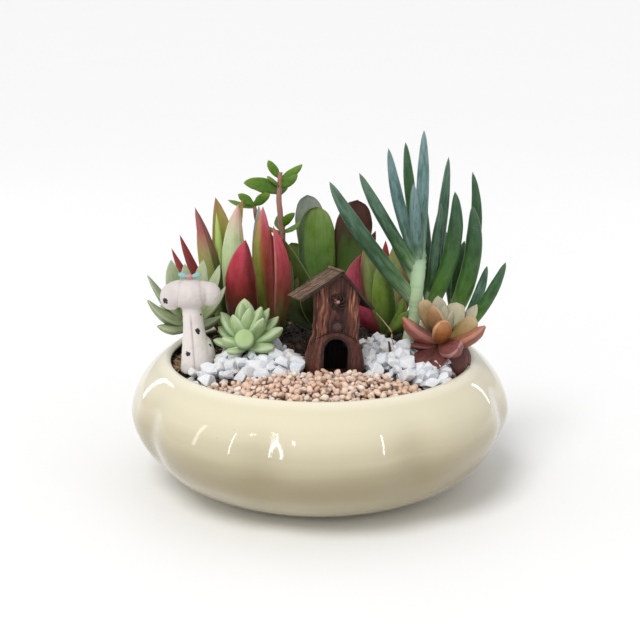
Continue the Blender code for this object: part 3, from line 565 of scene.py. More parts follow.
def make_soil(settings):
    """The mound of damp soil."""
    profile = list(SOIL_WALL)
    for i in range(SOIL_RINGS + 1):
        away = MOUND[-1][0] * (1.0 - i / SOIL_RINGS)
        profile.append((away, mound_height(away, 0.0)))
    bm = spun(profile, SOIL_STEPS)
    bed = layer(bm, "bed")
    outlines = (LEFT_OUTLINE, RIGHT_OUTLINE, TAN_OUTLINE)
    for vert in bm.verts:
        x, y, z = vert.co
        # Marks the soil under the stone beds for the painted light of soil_material.
        vert[bed] = 0.75 * any(inside_outline(outline, x, y) for outline in outlines)
        if z > 76.0:
            rough = noise.noise(Vector((x, y, 0.0)) * 0.09) * 1.1
            rough += noise.noise(Vector((x, y, 7.0)) * 0.42) * 0.7
            vert.co.z = pad_drop(x, y, z + rough * min(1.0, (100.5 - math.hypot(x, y)) / 5.0) - 0.4)
    add_piece("soil_surface", bm, [soil_material(settings)], "soil")


def several(name, count, draw, shape):
    """Meshes of one kind, each with its own random form."""
    return [new_mesh(name, shape(draw)) for _ in range(count)]


def crumb(draw):
    """A broken crumb of peat."""
    bm = bmesh.new()
    bmesh.ops.create_icosphere(bm, subdivisions=1, radius=1.0)
    for vert in bm.verts:
        vert.co *= draw.uniform(0.65, 1.25)
    return bm


def fibre(draw):
    """A short bent fibre or sliver of bark, one unit long."""
    bm = bmesh.new()
    bend = draw.uniform(-0.3, 0.3)
    lift = draw.uniform(0.0, 0.15)
    points = [(x, bend * (1.0 - 4.0 * x * x), lift * (x + 0.5)) for x in (-0.5, -0.2, 0.15, 0.5)]
    thick = draw.choice((0.035, 0.05, 0.10))
    rod(bm, smooth_path(points), lambda way: thick * (1.2 - 0.6 * way), 6, 8, 0.5)
    return bm


def add_copy(bm, shape, matrix, number, value):
    """Add a copy of a shape and mark its vertices with a number."""
    used = shape.copy()
    used.transform(matrix)
    count = len(bm.verts)
    bm.from_mesh(used)
    bpy.data.meshes.remove(used)
    bm.verts.ensure_lookup_table()
    for vert in bm.verts[count:]:
        vert[number] = value


LITTER_RADIUS = 98.5
FIBRE_RADIUS = 91.0
STRAW_RADIUS = 97.0
CRUMB_SIZES = (0.6, 0.8, 1.0, 1.3, 1.9, 2.4)
# Loose heaps of dry straw: middle, number of straws and spread.
STRAW = (
    (-92, -14, 110, 4), (-93, 0, 90, 5), (-66, -6, 26, 4), (40, 12, 30, 5),
    (88, -36, 24, 3),
)
# A sliver of bark, a dried stalk and a twig that stand out of the soil: points, half width and tint.
DRIED = (
    (((46.5, -29, 82), (45.6, -29, 93), (44.2, -29.5, 103)), 2.4, 0.86),
    (((47, -1, 90), (47.5, -2, 100), (43, 4, 106), (37, 8, 112)), 0.8, 1.05),
    (((52, -8, 84), (49, -9, 93), (47, -10, 99)), 0.8, 1),
)


def make_litter(settings):
    """Crumbs, slivers of bark and root fibres that lie on the soil."""
    draw = random.Random(settings.seed)
    bm = bmesh.new()
    tint = layer(bm, "tint")
    crumbs = several("crumb", 10, draw, crumb)
    fibres = several("fibre", 10, draw, fibre)

    def lay(shapes, place, turn, size, value):
        """Copy one of the shapes; value is a function, because its draw comes after the shape's."""
        matrix = Matrix.LocRotScale(Vector(place), Euler(turn), size)
        add_copy(bm, draw.choice(shapes), matrix, tint, value())

    for i in range(settings.litter):
        away = LITTER_RADIUS * math.sqrt(draw.random())
        turn = draw.uniform(0.0, math.tau)
        x, y = away * math.cos(turn), away * math.sin(turn)
        if inside_outline(TAN_OUTLINE, x, y):
            continue
        spin = draw.uniform(0.0, math.tau)
        if i % 4:
            size = draw.choice(CRUMB_SIZES)
            lay(crumbs, (x, y, ground_at(x, y) + size * 0.3), (spin, spin * 2.0, spin),
                Vector((1.0, 1.0, 0.75)) * size, lambda: draw.uniform(0.0, 0.9))
        elif away < FIBRE_RADIUS:
            reach = draw.uniform(3.0, 9.0)
            tilt = (draw.uniform(-0.2, 0.2), draw.uniform(-0.12, 0.12), spin)
            straw = 0.9 + 0.1 * (away > 80.0) * draw.random()
            lay(fibres, (x, y, ground_at(x, y) + 0.9), tilt, Vector((1.0, 1.0, 1.0)) * reach, lambda: straw)
    for x, y, count, spread in STRAW:
        for _ in range(count):
            cx, cy = x + draw.gauss(0.0, spread), y + draw.gauss(0.0, spread)
            if math.hypot(cx, cy) < STRAW_RADIUS:
                place = (cx, cy, ground_at(cx, cy) + draw.uniform(0.6, 2.4))
                turn = (draw.uniform(-0.4, 0.4), draw.uniform(-0.4, 0.4), draw.uniform(0.0, math.tau))
                reach = Vector((1.0, 1.4, 1.4)) * draw.uniform(2.5, 6.0)
                lay(fibres, place, turn, reach, lambda: draw.uniform(0.92, 1.1))
    for points, thick, value in DRIED:
        for vert in rod(bm, smooth_path(points), lambda way: thick * (1.1 - 0.7 * way), 8, 16, 0.5):
            vert[tint] = value
    add_piece("soil_litter", bm, [litter_material(settings)], "soil")
    for mesh in crumbs + fibres:
        bpy.data.meshes.remove(mesh)


def litter_material(settings):
    """Peat crumbs, nearly black, and fibres from brown to straw."""
    paint = Paint("soil_litter")
    grain = paint.grain(700.0, 5.0, rough=0.7)
    base = paint.ramp(paint.own("tint") + (grain - 0.5) * 0.25, (
        (0.0, settings.soil), (0.45, (0.022, 0.012, 0.008)), (0.75, (0.055, 0.028, 0.016)),
        (0.90, settings.fibre), (1.0, (0.46, 0.31, 0.19))))
    paint.relief(grain, 0.0008)
    return paint.finish(base, 0.7 + grain * 0.25)


# Stones


def sides_of(outline):
    """Both ends of each side of a closed outline."""
    return zip(outline, outline[1:] + outline[:1])


def inside_outline(outline, x, y):
    """Whether a point lies inside a closed outline."""
    inside = False
    for (x1, y1), (x2, y2) in sides_of(outline):
        if (y1 > y) != (y2 > y) and x < (x2 - x1) * (y - y1) / (y2 - y1) + x1:
            inside = not inside
    return inside


def edge_distance(outline, x, y):
    """How far a point lies from the nearest side of an outline."""
    best = 1e9
    for (x1, y1), (x2, y2) in sides_of(outline):
        dx, dy = x2 - x1, y2 - y1
        t = clamp(((x - x1) * dx + (y - y1) * dy) / (dx * dx + dy * dy))
        best = min(best, math.hypot(x - x1 - t * dx, y - y1 - t * dy))
    return best


BED_RADIUS = 97.2


def rim_arc(start, end, count):
    """Points along the rim between two angles, measured in degrees from the front."""
    points = []
    for i in range(count):
        angle = math.radians(start + (end - start) * i / (count - 1))
        points.append((BED_RADIUS * math.sin(angle), -BED_RADIUS * math.cos(angle)))
    return points


LEFT_OUTLINE = (
    rim_arc(-75, -52, 5)
    + [(-50, -64), (-30, -61), (-11.5, -60.5), (-11.5, -38), (-17, -24), (-22, -5)]
    + [(-30, 3), (-61, 2), (-64, -8), (-64.5, -20), (-66, -33), (-73, -40)]
)
RIGHT_OUTLINE = (
    [(30, -58), (44, -62), (62, -67)] + rim_arc(46, 74, 6)
    + [(70, -8), (52, -4), (46, 12), (27, 15), (28.5, -30)]
)
TAN_OUTLINE = (
    rim_arc(-50.5, 44.5, 14)
    + [(61, -69.5), (43, -64.5), (25.5, -60.5), (14, -60.5), (-6, -62.5), (-17, -62.5)]
    + [(-29.5, -63.5), (-50, -66.5)]
)
# Round places that stay free of stones: x, y and radius.
STONE_FREE = (
    (-48, -20, 5.5), (80, -17, 6), (58, 5, 6.5), (43, 30, 7), (92, 6, 5),
    (DOG_PLACE.x, DOG_PLACE.y, 13.2),
)


def any_way(draw):
    """A random direction."""
    return Vector([draw.gauss(0.0, 1.0) for _ in range(3)]).normalized()


def broken_chip(draw):
    """A broken chip: a block with its corners struck off by random cuts, and worn edges."""
    bm = bmesh.new()
    bmesh.ops.create_cube(bm, size=1.0)
    for _ in range(9):
        face = any_way(draw)
        cut_away(bm, face * draw.uniform(0.36, 0.50), face)
    bmesh.ops.dissolve_degenerate(bm, dist=0.03, edges=bm.edges)
    bmesh.ops.bevel(
        bm, geom=list(bm.edges), offset=0.045, offset_type="OFFSET", affect="EDGES", segments=1,
        profile=0.5, material=-1, clamp_overlap=True)
    bmesh.ops.recalc_face_normals(bm, faces=bm.faces)
    return bm


def pebble(draw):
    """A rolled grain: a ball pushed gently out of round."""
    bm = bmesh.new()
    bmesh.ops.create_icosphere(bm, subdivisions=2, radius=0.5)
    cuts = [(any_way(draw), draw.uniform(0.22, 0.38)) for _ in range(8)]
    for vert in bm.verts:
        for face, depth in cuts:
            over = vert.co.dot(face) - depth
            if over > 0.0:
                vert.co -= face * over * 0.95
        vert.co *= draw.uniform(0.96, 1.06)
    return bm


def scattered(outline, gap, margin, draw, tries=9000):
    """Places in an outline that keep a gap from each other."""
    cells = {}
    places = []
    for _ in range(tries):
        x, y = draw.uniform(-98.0, 98.0), draw.uniform(-98.0, 20.0)
        if not inside_outline(outline, x, y) or edge_distance(outline, x, y) < margin:
            continue
        if any(math.hypot(x - cx, y - cy) < free + 0.3 * gap for cx, cy, free in STONE_FREE):
            continue
        column, row = int(x // gap), int(y // gap)
        near = [p for i in (-1, 0, 1) for j in (-1, 0, 1) for p in cells.get((column + i, row + j), ())]
        if all(math.hypot(x - px, y - py) >= gap for px, py in near):
            cells.setdefault((column, row), []).append((x, y))
            places.append((x, y))
    return places


# Height, gap and margin of each layer of a bed, and the sizes of its stones, as shares of the usual size.
HEAP = ((0.22, 0.80, 0.15), (0.62, 0.90, 0.40), (0.92, 1.4, 1.1))
DRIFT = ((0.25, 0.58, 0.0), (0.72, 0.66, 0.1), (1.10, 0.95, 0.5))
STONE_SIZES = (0.62, 0.76, 0.90, 1.02, 1.18)
# Beds of stones: name, outline, kind of stone, slot and node.
BEDS = (
    ("chips_left", LEFT_OUTLINE, "chip", "white_chips", "white_chips_left"),
    ("chips_right", RIGHT_OUTLINE, "chip", "white_chips", "white_chips_right"),
    ("gravel_front", TAN_OUTLINE, "pebble", "tan_gravel", "tan_gravel"),
)


def make_stones(name, outline, kind, node, seed):
    """A bed of loose stones of one kind, from its row in make_ground."""
    size, layers, shapes, flat, sharp, material = kind
    draw = random.Random(seed)
    bm = bmesh.new()
    tint = layer(bm, "tint")
    for height, gap, margin in layers:
        for x, y in scattered(outline, gap * size, margin * size, draw):
            broad = size * draw.choice(STONE_SIZES)
            stretch = Vector((draw.uniform(1.0, 1.3), 1.0, flat)) * broad
            turn = Euler((draw.uniform(-0.7, 0.7), draw.uniform(-0.7, 0.7), draw.uniform(0.0, math.tau)))
            place = Vector((x, y, mound_height(x, y) + height * size))
            add_copy(bm, draw.choice(shapes), Matrix.LocRotScale(place, turn, stretch), tint, draw.random())
    add_piece(name, bm, [material], node, sharp)


def chip_material(settings):
    """White crushed stone: bright faces, grey veins and a few warm stains."""
    paint = Paint("white_chip", subsurface_weight=0.08, subsurface_scale=0.002)
    tint = paint.own("tint")
    vein = paint.grain(150.0, 5.0, distortion=1.2)
    cloud = paint.grain(55.0, 2.0)
    base = paint.mix(vein.step(0.50, 0.72) * 0.6, settings.chip, (0.54, 0.56, 0.61))
    base = paint.mix(tint.step(0.80, 1.0) * cloud * 0.8, base, (0.72, 0.62, 0.48))
    base = paint.mix((1.0 - tint).step(0.72, 1.0) * 0.5, base, (0.60, 0.64, 0.70))
    sparkle = paint.grain(2600.0, 1.0)
    paint.relief(vein * 0.7 + sparkle * 0.18, 0.0007, 0.8)
    return paint.finish(base, 0.62 - sparkle.step(0.6, 0.72) * 0.3)


def gravel_material():
    """Rolled river gravel: tan, pink, ochre and mauve grains with paler flecks."""
    paint = Paint("tan_gravel")
    tint = paint.own("tint")
    speckle = paint.grain(800.0, 4.0, rough=0.65)
    cloud = paint.grain(170.0, 3.0)
    base = paint.ramp(tint + (cloud - 0.5) * 0.12, (
        (0.00, (0.66, 0.48, 0.35)), (0.20, (0.84, 0.63, 0.51)), (0.36, (0.74, 0.50, 0.36)),
        (0.52, (0.90, 0.78, 0.66)), (0.62, (0.60, 0.39, 0.28)), (0.78, (0.82, 0.60, 0.50)),
        (0.86, (0.58, 0.44, 0.38)), (1.00, (0.92, 0.84, 0.74))))
    base = paint.mix(speckle.step(0.50, 0.72) * 0.45, base, (0.80, 0.68, 0.55))
    base = paint.mix((1.0 - speckle).step(0.60, 0.74) * 0.22, base, (0.38, 0.23, 0.16))
    paint.relief(speckle * 0.5 + cloud, 0.0005, 0.7)
    return paint.finish(base, 0.40 + speckle * 0.25)


def make_ground(settings):
    """The soil, what lies on it and the three beds of stones."""
    make_soil(settings)
    make_litter(settings)
    draw = random.Random(settings.seed + 1)
    chips = several("chip", 14, draw, broken_chip)
    pebbles = several("pebble", 12, draw, pebble)
    # Size, layers, shapes, flatness, the angle from which an edge is sharp, and material.
    kinds = {
        "chip": (settings.chip_size / MM, HEAP, chips, 0.74, 24.0, chip_material(settings)),
        "pebble": (settings.gravel_size / MM, DRIFT, pebbles, 0.82, None, gravel_material()),
    }
    for i, (name, outline, kind, slot, node) in enumerate(BEDS):
        make_stones(name, outline, kinds[kind], node, settings.seed + 2 + i)
    for mesh in chips + pebbles:
        bpy.data.meshes.remove(mesh)


# Leaves

# Each form is its section, then the width and the thickness along the leaf, all in hundredths.
POINTED = ("blade", ((0, 58), (36, 100), (60, 95), (80, 66), (93, 30), (100, 0)),
           ((0, 95), (38, 100), (74, 62), (100, 12)))
KEELED = ("keel", *POINTED[1:])
PADDLE = ("wavy", ((0, 30), (30, 68), (60, 100), (80, 98), (92, 74), (97.5, 44), (100, 0)),
          ((0, 100), (30, 95), (62, 80), (84, 65), (100, 40)))
FINGER = ("finger", ((0, 74), (12, 90), (35, 100), (66, 94), (86, 62), (95, 34), (100, 0)),
          ((0, 50), (12, 80), (35, 100), (70, 90), (90, 55), (100, 20)))
TWIG = ("finger", ((0, 100), (60, 80), (100, 0)), ((0, 100), (60, 80), (100, 10)))
PLUMP = ("plump", ((0, 50), (30, 90), (55, 104), (78, 82), (92, 44), (100, 0)),
         ((0, 70), (48, 100), (84, 75), (100, 15)))
SPOON = ("plump", ((0, 45), (35, 80), (66, 104), (86, 90), (95, 62), (100, 0)),
         ((0, 60), (48, 95), (80, 100), (95, 70), (100, 30)))
OVAL = ("keel", ((0, 34), (42, 100), (76, 74), (92, 36), (100, 0)),
        ((0, 90), (45, 100), (85, 80), (100, 20)))
BLUNT = ("round", ((0, 55), (40, 90), (80, 100), (95, 96), (98.5, 80), (100, 0)),
         ((0, 80), (45, 100), (90, 100), (100, 90)))

VIEWER = (0.0, -1.0, 0.25)
TILTED = (0.0, -0.3, 1.0)
AWAY = (0.0, 1.0, 0.25)
UPWARD = (0.0, 0.0, 1.0)

# Leaf finishes, every number in hundredths. stops: place and colour from root to tip. half: where
# across the leaf a second run of colours starts, how softly, and the run; the two runs give a leaf's
# two tones and paint shade on its darker side. edge, back and bloom: strength and colour on the
# margins, on the lower side and of the waxy powder; on the chalk fingers the margin colour is a
# painted highlight along their sides. mottle: how far darker patches go. rough: roughness of clean
# skin.
SKINS = {
    "crimson": dict(
        stops=((0, 8, 5, 2), (22, 14, 8.5, 3.5), (42, 28, 5, 3.5), (62, 48, 3.8, 5.8), (90, 58, 4.5, 9),
               (100, 30, 6, 5)),
        half=(42, 40, ((0, 8, 5, 2), (25, 11, 4.5, 2), (55, 17, 2, 1.4), (100, 24, 3.5, 3))),
        edge=(60, 50, 20, 15), bloom=(4, 60, 30, 35), rough=30),
    "flame": dict(
        stops=((0, 8, 10, 1.5), (40, 22, 27, 4.5), (75, 29, 30, 6), (92, 48, 20, 12), (100, 60, 16, 22)),
        half=(-25, 25, ((0, 5, 6, 1), (28, 10, 10, 1.5), (45, 20, 9, 1.6), (62, 34, 7.5, 2),
               (82, 46, 6.5, 7.5), (96, 58, 13, 20), (100, 50, 22, 24))),
        edge=(50, 34, 12, 6), bloom=(3, 60, 40, 30), rough=32),
    "scarlet": dict(
        stops=((0, 20, 12, 6), (50, 46, 17, 14), (100, 66, 24, 26)),
        half=(-74, 12, ((0, 6, 5.5, 1.5), (28, 12, 8.5, 2.5), (45, 21, 4.5, 3), (65, 34, 3.2, 4.2),
               (85, 50, 6, 9), (100, 58, 9, 13))),
        edge=(40, 46, 15, 14), bloom=(4, 60, 40, 40), rough=32),
    "dark_red": dict(
        stops=((0, 8, 6, 2), (30, 17, 5, 2), (60, 24, 2.8, 2.2), (100, 30, 3.2, 3.2)),
        edge=(60, 42, 12, 10), bloom=(4, 40, 30, 30), rough=34),
    "red_tipped": dict(
        stops=((0, 20, 30, 7), (40, 32, 44, 11), (62, 40, 33, 13), (80, 46, 10, 11), (100, 32, 12, 13)),
        half=(25, 10, ((0, 5, 9, 2), (50, 10, 14, 3), (80, 26, 7, 6), (100, 26, 9, 9))),
        edge=(50, 40, 14, 10), bloom=(5, 50, 50, 40), rough=32),
    "olive_lime": dict(
        stops=((0, 22, 32, 6), (35, 14, 26, 3), (70, 36, 39, 5), (90, 36, 24, 7), (100, 36, 13, 7)),
        edge=(80, 28, 9, 5.5), bloom=(4, 50, 50, 30), rough=30),
    "fresh_green": dict(
        stops=((0, 22, 34, 9), (50, 38, 54, 14), (100, 48, 62, 18)),
        edge=(50, 55, 62, 30), bloom=(6, 50, 55, 40), rough=32),
    "blush": dict(
        stops=((0, 30, 38, 13), (30, 44, 56, 22), (62, 58, 74, 39), (78, 64, 66, 42), (90, 76, 48, 42),
               (100, 66, 30, 30)),
        half=(60, 10, ((0, 20, 26, 7), (60, 40, 44, 14), (90, 60, 40, 30), (100, 60, 28, 28))),
        edge=(50, 66, 62, 44), bloom=(14, 70, 78, 62), mottle=20, rough=36),
    # Near-black leaves low among the others: partly their own dark green, partly painted shade where they
    # fill shaded gaps among the plants.
    "night_green": dict(
        stops=((0, 1.2, 1, 0.4), (35, 2, 3, 0.7), (70, 4.5, 6, 1.3), (90, 9.5, 8.2, 2.2), (100, 14, 9, 3)),
        half=(15, 40, ((0, 3, 5, 1.2), (40, 7.5, 12, 2.2), (80, 12, 15, 3.5), (100, 16, 10, 4))),
        edge=(85, 26, 31, 15), bloom=(3, 30, 40, 30), rough=30),
    "paddle": dict(
        stops=((0, 2, 5, 0.8), (60, 3.5, 8.5, 1.2), (100, 8, 12, 3)),
        half=(-66, 10, ((0, 7, 15, 2), (50, 10, 20, 2.2), (80, 15, 27, 3.5), (100, 24, 32, 8))),
        edge=(55, 13, 9, 4), bloom=(6, 40, 50, 40), mottle=30, rough=28),
    "paddle_grey": dict(
        stops=((0, 6, 11, 3), (50, 15, 20, 10), (85, 26, 31, 25), (100, 30, 32, 30)),
        edge=(70, 20, 12, 11), bloom=(20, 42, 45, 42), rough=36),
    "paddle_wine": dict(
        stops=((0, 5, 7, 2), (50, 9, 5, 1.8), (100, 6.5, 2, 1.3)),
        half=(-62, 10, ((0, 5, 9, 1.6), (35, 6.5, 13, 2), (62, 6.5, 12, 2.2), (72, 5.5, 6, 1.6),
               (80, 7, 2.4, 1.3), (100, 6.5, 1.8, 1.2))),
        edge=(50, 11, 4.5, 2.6), bloom=(2, 30, 10, 10), mottle=40, rough=34),
    "wine_tip": dict(
        stops=((0, 5, 8, 2), (50, 16, 15, 6), (80, 17, 7, 4), (100, 15, 4, 3)),
        edge=(70, 25, 7, 5), bloom=(5, 40, 40, 30), rough=32),
    "pink_red": dict(
        stops=((0, 10, 3, 3), (40, 20, 2, 3.4), (75, 40, 4, 8.5), (100, 28, 4, 5)),
        edge=(60, 48, 20, 18), bloom=(4, 50, 30, 30), rough=32),
    "tan_edged": dict(
        stops=((0, 15, 13, 4), (50, 36, 26, 12), (85, 42, 25, 14), (100, 34, 12, 8)),
        half=(-42, 20, ((0, 7, 12, 1.8), (50, 17, 28, 4.5), (85, 30, 34, 12), (100, 34, 20, 10))),
        edge=(40, 30, 16, 8), bloom=(5, 50, 50, 40), rough=32),
    "lime": dict(
        stops=((0, 7, 10, 1.5), (30, 13, 20, 2.5), (65, 21, 34, 4.5), (90, 28, 40, 9), (100, 30, 36, 12)),
        half=(35, 25, ((0, 5, 8, 1.5), (60, 10, 17, 2.2), (100, 20, 28, 6))),
        edge=(60, 36, 42, 16), bloom=(5, 50, 55, 40), rough=30),
    "lime_salmon": dict(
        stops=((0, 20, 13, 5), (40, 32, 33, 11), (80, 42, 46, 17), (100, 44, 40, 18)),
        half=(22, 18, ((0, 18, 6, 4), (50, 30, 11, 5.5), (85, 34, 24, 10), (100, 40, 34, 15))),
        edge=(60, 45, 16, 10), bloom=(6, 50, 55, 40), rough=32),
    "chalk": dict(
        stops=((0, 46, 58, 34), (8, 30, 43, 22), (20, 7, 17, 4.5), (40, 3.2, 10, 3.4), (75, 5.5, 13, 7.5),
               (100, 10, 17, 12)),
        edge=(60, 18, 27, 18), bloom=(30, 20, 31, 26), mottle=70, rough=42),
    "chalk_blue": dict(
        stops=((0, 46, 58, 34), (12, 28, 41, 24), (30, 6.5, 16, 10), (60, 8.5, 19, 18), (100, 16, 25, 26)),
        edge=(50, 22, 32, 32), bloom=(42, 27, 38, 40), mottle=80, rough=42),
    "chalk_green": dict(
        stops=((0, 30, 46, 13), (15, 13, 27, 4.5), (35, 5.5, 15.5, 2), (60, 2.8, 9.5, 2),
               (85, 3.5, 10, 4.5), (100, 8, 13, 8)),
        edge=(50, 13, 22, 8), bloom=(18, 12, 21, 13), mottle=60, rough=42),
    "mint": dict(
        stops=((0, 25, 36, 12), (40, 31, 43, 18), (80, 38, 50, 26), (100, 47, 56, 33)),
        edge=(50, 54, 64, 42), back=(50, 28, 39, 15), bloom=(28, 52, 62, 46), mottle=15, rough=46),
    "mint_disc": dict(
        stops=((0, 28, 38, 14), (70, 35, 47, 22), (100, 37, 50, 23)),
        edge=(10, 45, 57, 26), bloom=(25, 50, 60, 40), mottle=10, rough=45),
    "ghost": dict(
        stops=((0, 15, 19, 6), (35, 25, 30, 13), (75, 36, 42, 25), (100, 46, 50, 32)),
        edge=(35, 52, 60, 42), back=(60, 20, 24, 9), bloom=(30, 46, 54, 40), mottle=20, rough=46),
    "amber": dict(
        stops=((0, 22, 12, 3), (40, 35, 9.5, 1.5), (80, 38, 11, 2.2), (100, 42, 18, 7)),
        edge=(70, 62, 38, 25), back=(40, 32, 14, 4), bloom=(6, 50, 28, 16), mottle=25, rough=42),
    "caramel": dict(
        stops=((0, 15, 13, 4), (50, 25, 14, 4.5), (85, 36, 19, 8.5), (100, 48, 28, 16)),
        edge=(60, 60, 41, 29), back=(40, 24, 15, 6), bloom=(12, 50, 36, 26), mottle=20, rough=42),
    "ochre": dict(
        stops=((0, 22, 20, 6), (50, 34, 22, 6.5), (85, 46, 32, 16), (100, 54, 40, 24)),
        edge=(60, 58, 38, 24), back=(40, 30, 20, 8), bloom=(15, 50, 42, 32), mottle=20, rough=42),
    "dove": dict(
        stops=((0, 22, 24, 10), (50, 33, 33, 20), (100, 46, 41, 31)),
        edge=(50, 54, 50, 42), back=(40, 30, 28, 16), bloom=(22, 50, 47, 40), mottle=20, rough=46),
    "salmon": dict(
        stops=((0, 18, 8, 3), (35, 26, 8.5, 4), (75, 35, 12.5, 7), (100, 42, 20, 13)),
        edge=(50, 56, 29, 22), back=(60, 26, 6, 4.5), bloom=(12, 46, 28, 24), mottle=30, rough=40),
    "rust": dict(
        stops=((0, 12, 6, 3), (35, 13, 5.2, 4.5), (75, 17, 7, 6.2), (100, 36, 17, 11)),
        edge=(60, 50, 20, 16), back=(90, 33, 8.5, 6), bloom=(12, 42, 22, 20), mottle=40, rough=40),
    "rose": dict(
        stops=((0, 28, 14, 6), (35, 27, 10, 6), (70, 20, 5.2, 4.5), (100, 17, 4, 4.5)),
        edge=(65, 50, 27, 23), back=(50, 24, 7, 5.5), bloom=(10, 46, 30, 28), mottle=30, rough=40),
    "maroon": dict(
        stops=((0, 6, 2.2, 1.6), (50, 8.5, 2.6, 2.1), (100, 13, 3.6, 3.2)),
        edge=(50, 26, 9, 8), back=(40, 8.5, 2.8, 2.2), bloom=(7, 26, 13, 13), mottle=30, rough=42),
    "sprig": dict(
        stops=((0, 7, 16, 0.6), (50, 8.5, 20, 0.6), (100, 17, 27, 3.5)),
        edge=(50, 26, 38, 8), back=(60, 20, 31, 9), bloom=(4, 30, 40, 20), rough=26),
    "sprig_stem": dict(
        stops=((0, 5, 4.5, 2), (52, 10, 8, 3), (62, 36, 18, 14), (100, 42, 19, 16)),
        edge=(20, 40, 20, 16), bloom=(10, 50, 40, 30), rough=50),
    "pale_stem": dict(
        stops=((0, 25, 20, 12), (30, 50, 54, 33), (55, 54, 68, 42), (80, 40, 56, 33), (100, 22, 36, 24)),
        edge=(20, 40, 45, 30), bloom=(30, 60, 74, 56), mottle=55, rough=50),
    "woody_stem": dict(
        stops=((0, 10, 7, 4), (50, 15, 12, 5), (100, 20, 19, 7)),
        edge=(20, 20, 15, 10), bloom=(10, 30, 30, 20), rough=60),
}


def shares(row):
    """Turn hundredths into shares of one."""
    return [number / 100.0 for number in row]


def colour_run(rows):
    """Ramp stops from rows of place, red, green and blue."""
    return [(place, shade) for place, *shade in map(shares, rows)]


def leaf_material(name):
    """A leaf's skin, from its row in SKINS."""
    skin = SKINS[name]
    paint = Paint("leaf_" + name, subsurface_weight=0.08, subsurface_scale=0.002, coat_weight=0.05,
                  coat_roughness=0.22, subsurface_radius=(0.9, 1.0, 0.35), specular_ior_level=0.36)
    along, across, side = (paint.own(key) for key in ("along", "across", "side"))
    tint = paint.own("tint")
    broad = paint.grain(75.0, 3.0)
    fine = paint.grain(850.0, 4.0)
    streak = paint.grain(1.0, 3.0, paint.joined(across * 7.0, side * 3.0, along * 1.6 + tint * 40.0))
    patch = paint.grain(
        1.0, 4.0, paint.joined(across * 2.2, side * 1.5, along * 9.0 + tint * 70.0), rough=0.6)
    way = along + (streak - 0.5) * 0.18 + (tint - 0.5) * 0.06
    base = paint.ramp(way, colour_run(skin["stops"]))
    # The second run gives the leaf's two tones and paints shade on its darker side.
    if "half" in skin:
        start, soft = shares(skin["half"][:2])
        far = (across + (streak - 0.5) * 0.12).step(start - soft, start + soft)
        base = paint.mix(far, base, paint.ramp(way, colour_run(skin["half"][2])))
    if "back" in skin:
        strength, *shade = shares(skin["back"])
        base = paint.mix((0.0 - side).step(0.05, 0.6) * strength, base, shade)
    body = 1.0 - along.step(0.93, 0.97)
    base = paint.mix(streak.step(0.55, 0.75) * body * 0.30, base, (1.18, 1.15, 1.05), "MULTIPLY")
    base = paint.mix((1.0 - streak).step(0.55, 0.75) * body * 0.40, base, (0.70, 0.70, 0.68), "MULTIPLY")
    dark = (1.0 - patch).step(0.42, 0.66) * body * (skin.get("mottle", 35) / 100.0)
    base = paint.mix(dark, base, (0.46, 0.52, 0.46), "MULTIPLY")
    lit = paint.ramp(tint, ((0.0, (0.88, 0.90, 0.88)), (1.0, (1.10, 1.08, 1.04))))
    base = paint.mix(1.0, base, lit, "MULTIPLY")
    # Margin colour: the leaf's own edge, and on the chalk fingers a painted highlight along their sides.
    edge_and_highlight, *edge_shade = shares(skin["edge"])
    bloom, *bloom_shade = shares(skin["bloom"])
    powder = (broad * 0.5 + patch * 0.5).step(0.38, 0.60) * (0.6 + fine * 0.6)
    base = paint.mix(powder * bloom, base, bloom_shade)
    base = paint.mix((abs(across) + (fine - 0.5) * 0.08).step(0.89, 0.98) * edge_and_highlight, base, edge_shade)
    fleck = 1.0 - paint.cells(420.0).step(0.10, 0.24)
    base = paint.mix(fleck * broad.step(0.5, 0.65) * 0.2, base, (0.45, 0.36, 0.20))
    paint.relief(streak * 0.8 + fine * 0.25, 0.0004, 0.6)
    return paint.finish(base, skin["rough"] / 100.0 + powder * edge_and_highlight * 0.2 + (fine - 0.5) * 0.12)


LEAF_LAYERS = ("along", "across", "side", "tint")


def section_of(kind, c, s):
    """A place on a leaf's section: across from -1 to 1, and through it."""
    flat = abs(c)
    if kind == "blade":
        dish = 0.20 * max(0.0, 1.0 - flat) ** 1.3
        return c, (s * 0.36 - dish) if s > 0.0 else s * 0.62
    if kind == "wavy":
        dish = 0.15 * max(0.0, 1.0 - flat * 1.6)
        return c, (s * 0.36 - dish) if s > 0.0 else s * 0.62 - dish * 0.6
    if kind == "keel":
        dish = 0.10 * (1.0 - flat * flat)
        return c, (s * 0.46 - dish) if s > 0.0 else -0.60 * (0.60 * (1.0 - flat) + 0.40 * abs(s))
    if kind == "plump":
        dish = 0.05 * (1.0 - flat * flat)
        return c, (s * 0.47 - dish) if s > 0.0 else -0.60 * (0.25 * (1.0 - flat) + 0.75 * abs(s))
    groove = 0.10 * max(0.0, 1.0 - 3.0 * flat) * (kind == "finger")
    return c, s * 0.5 - (groove if s > 0.0 else 0.0)


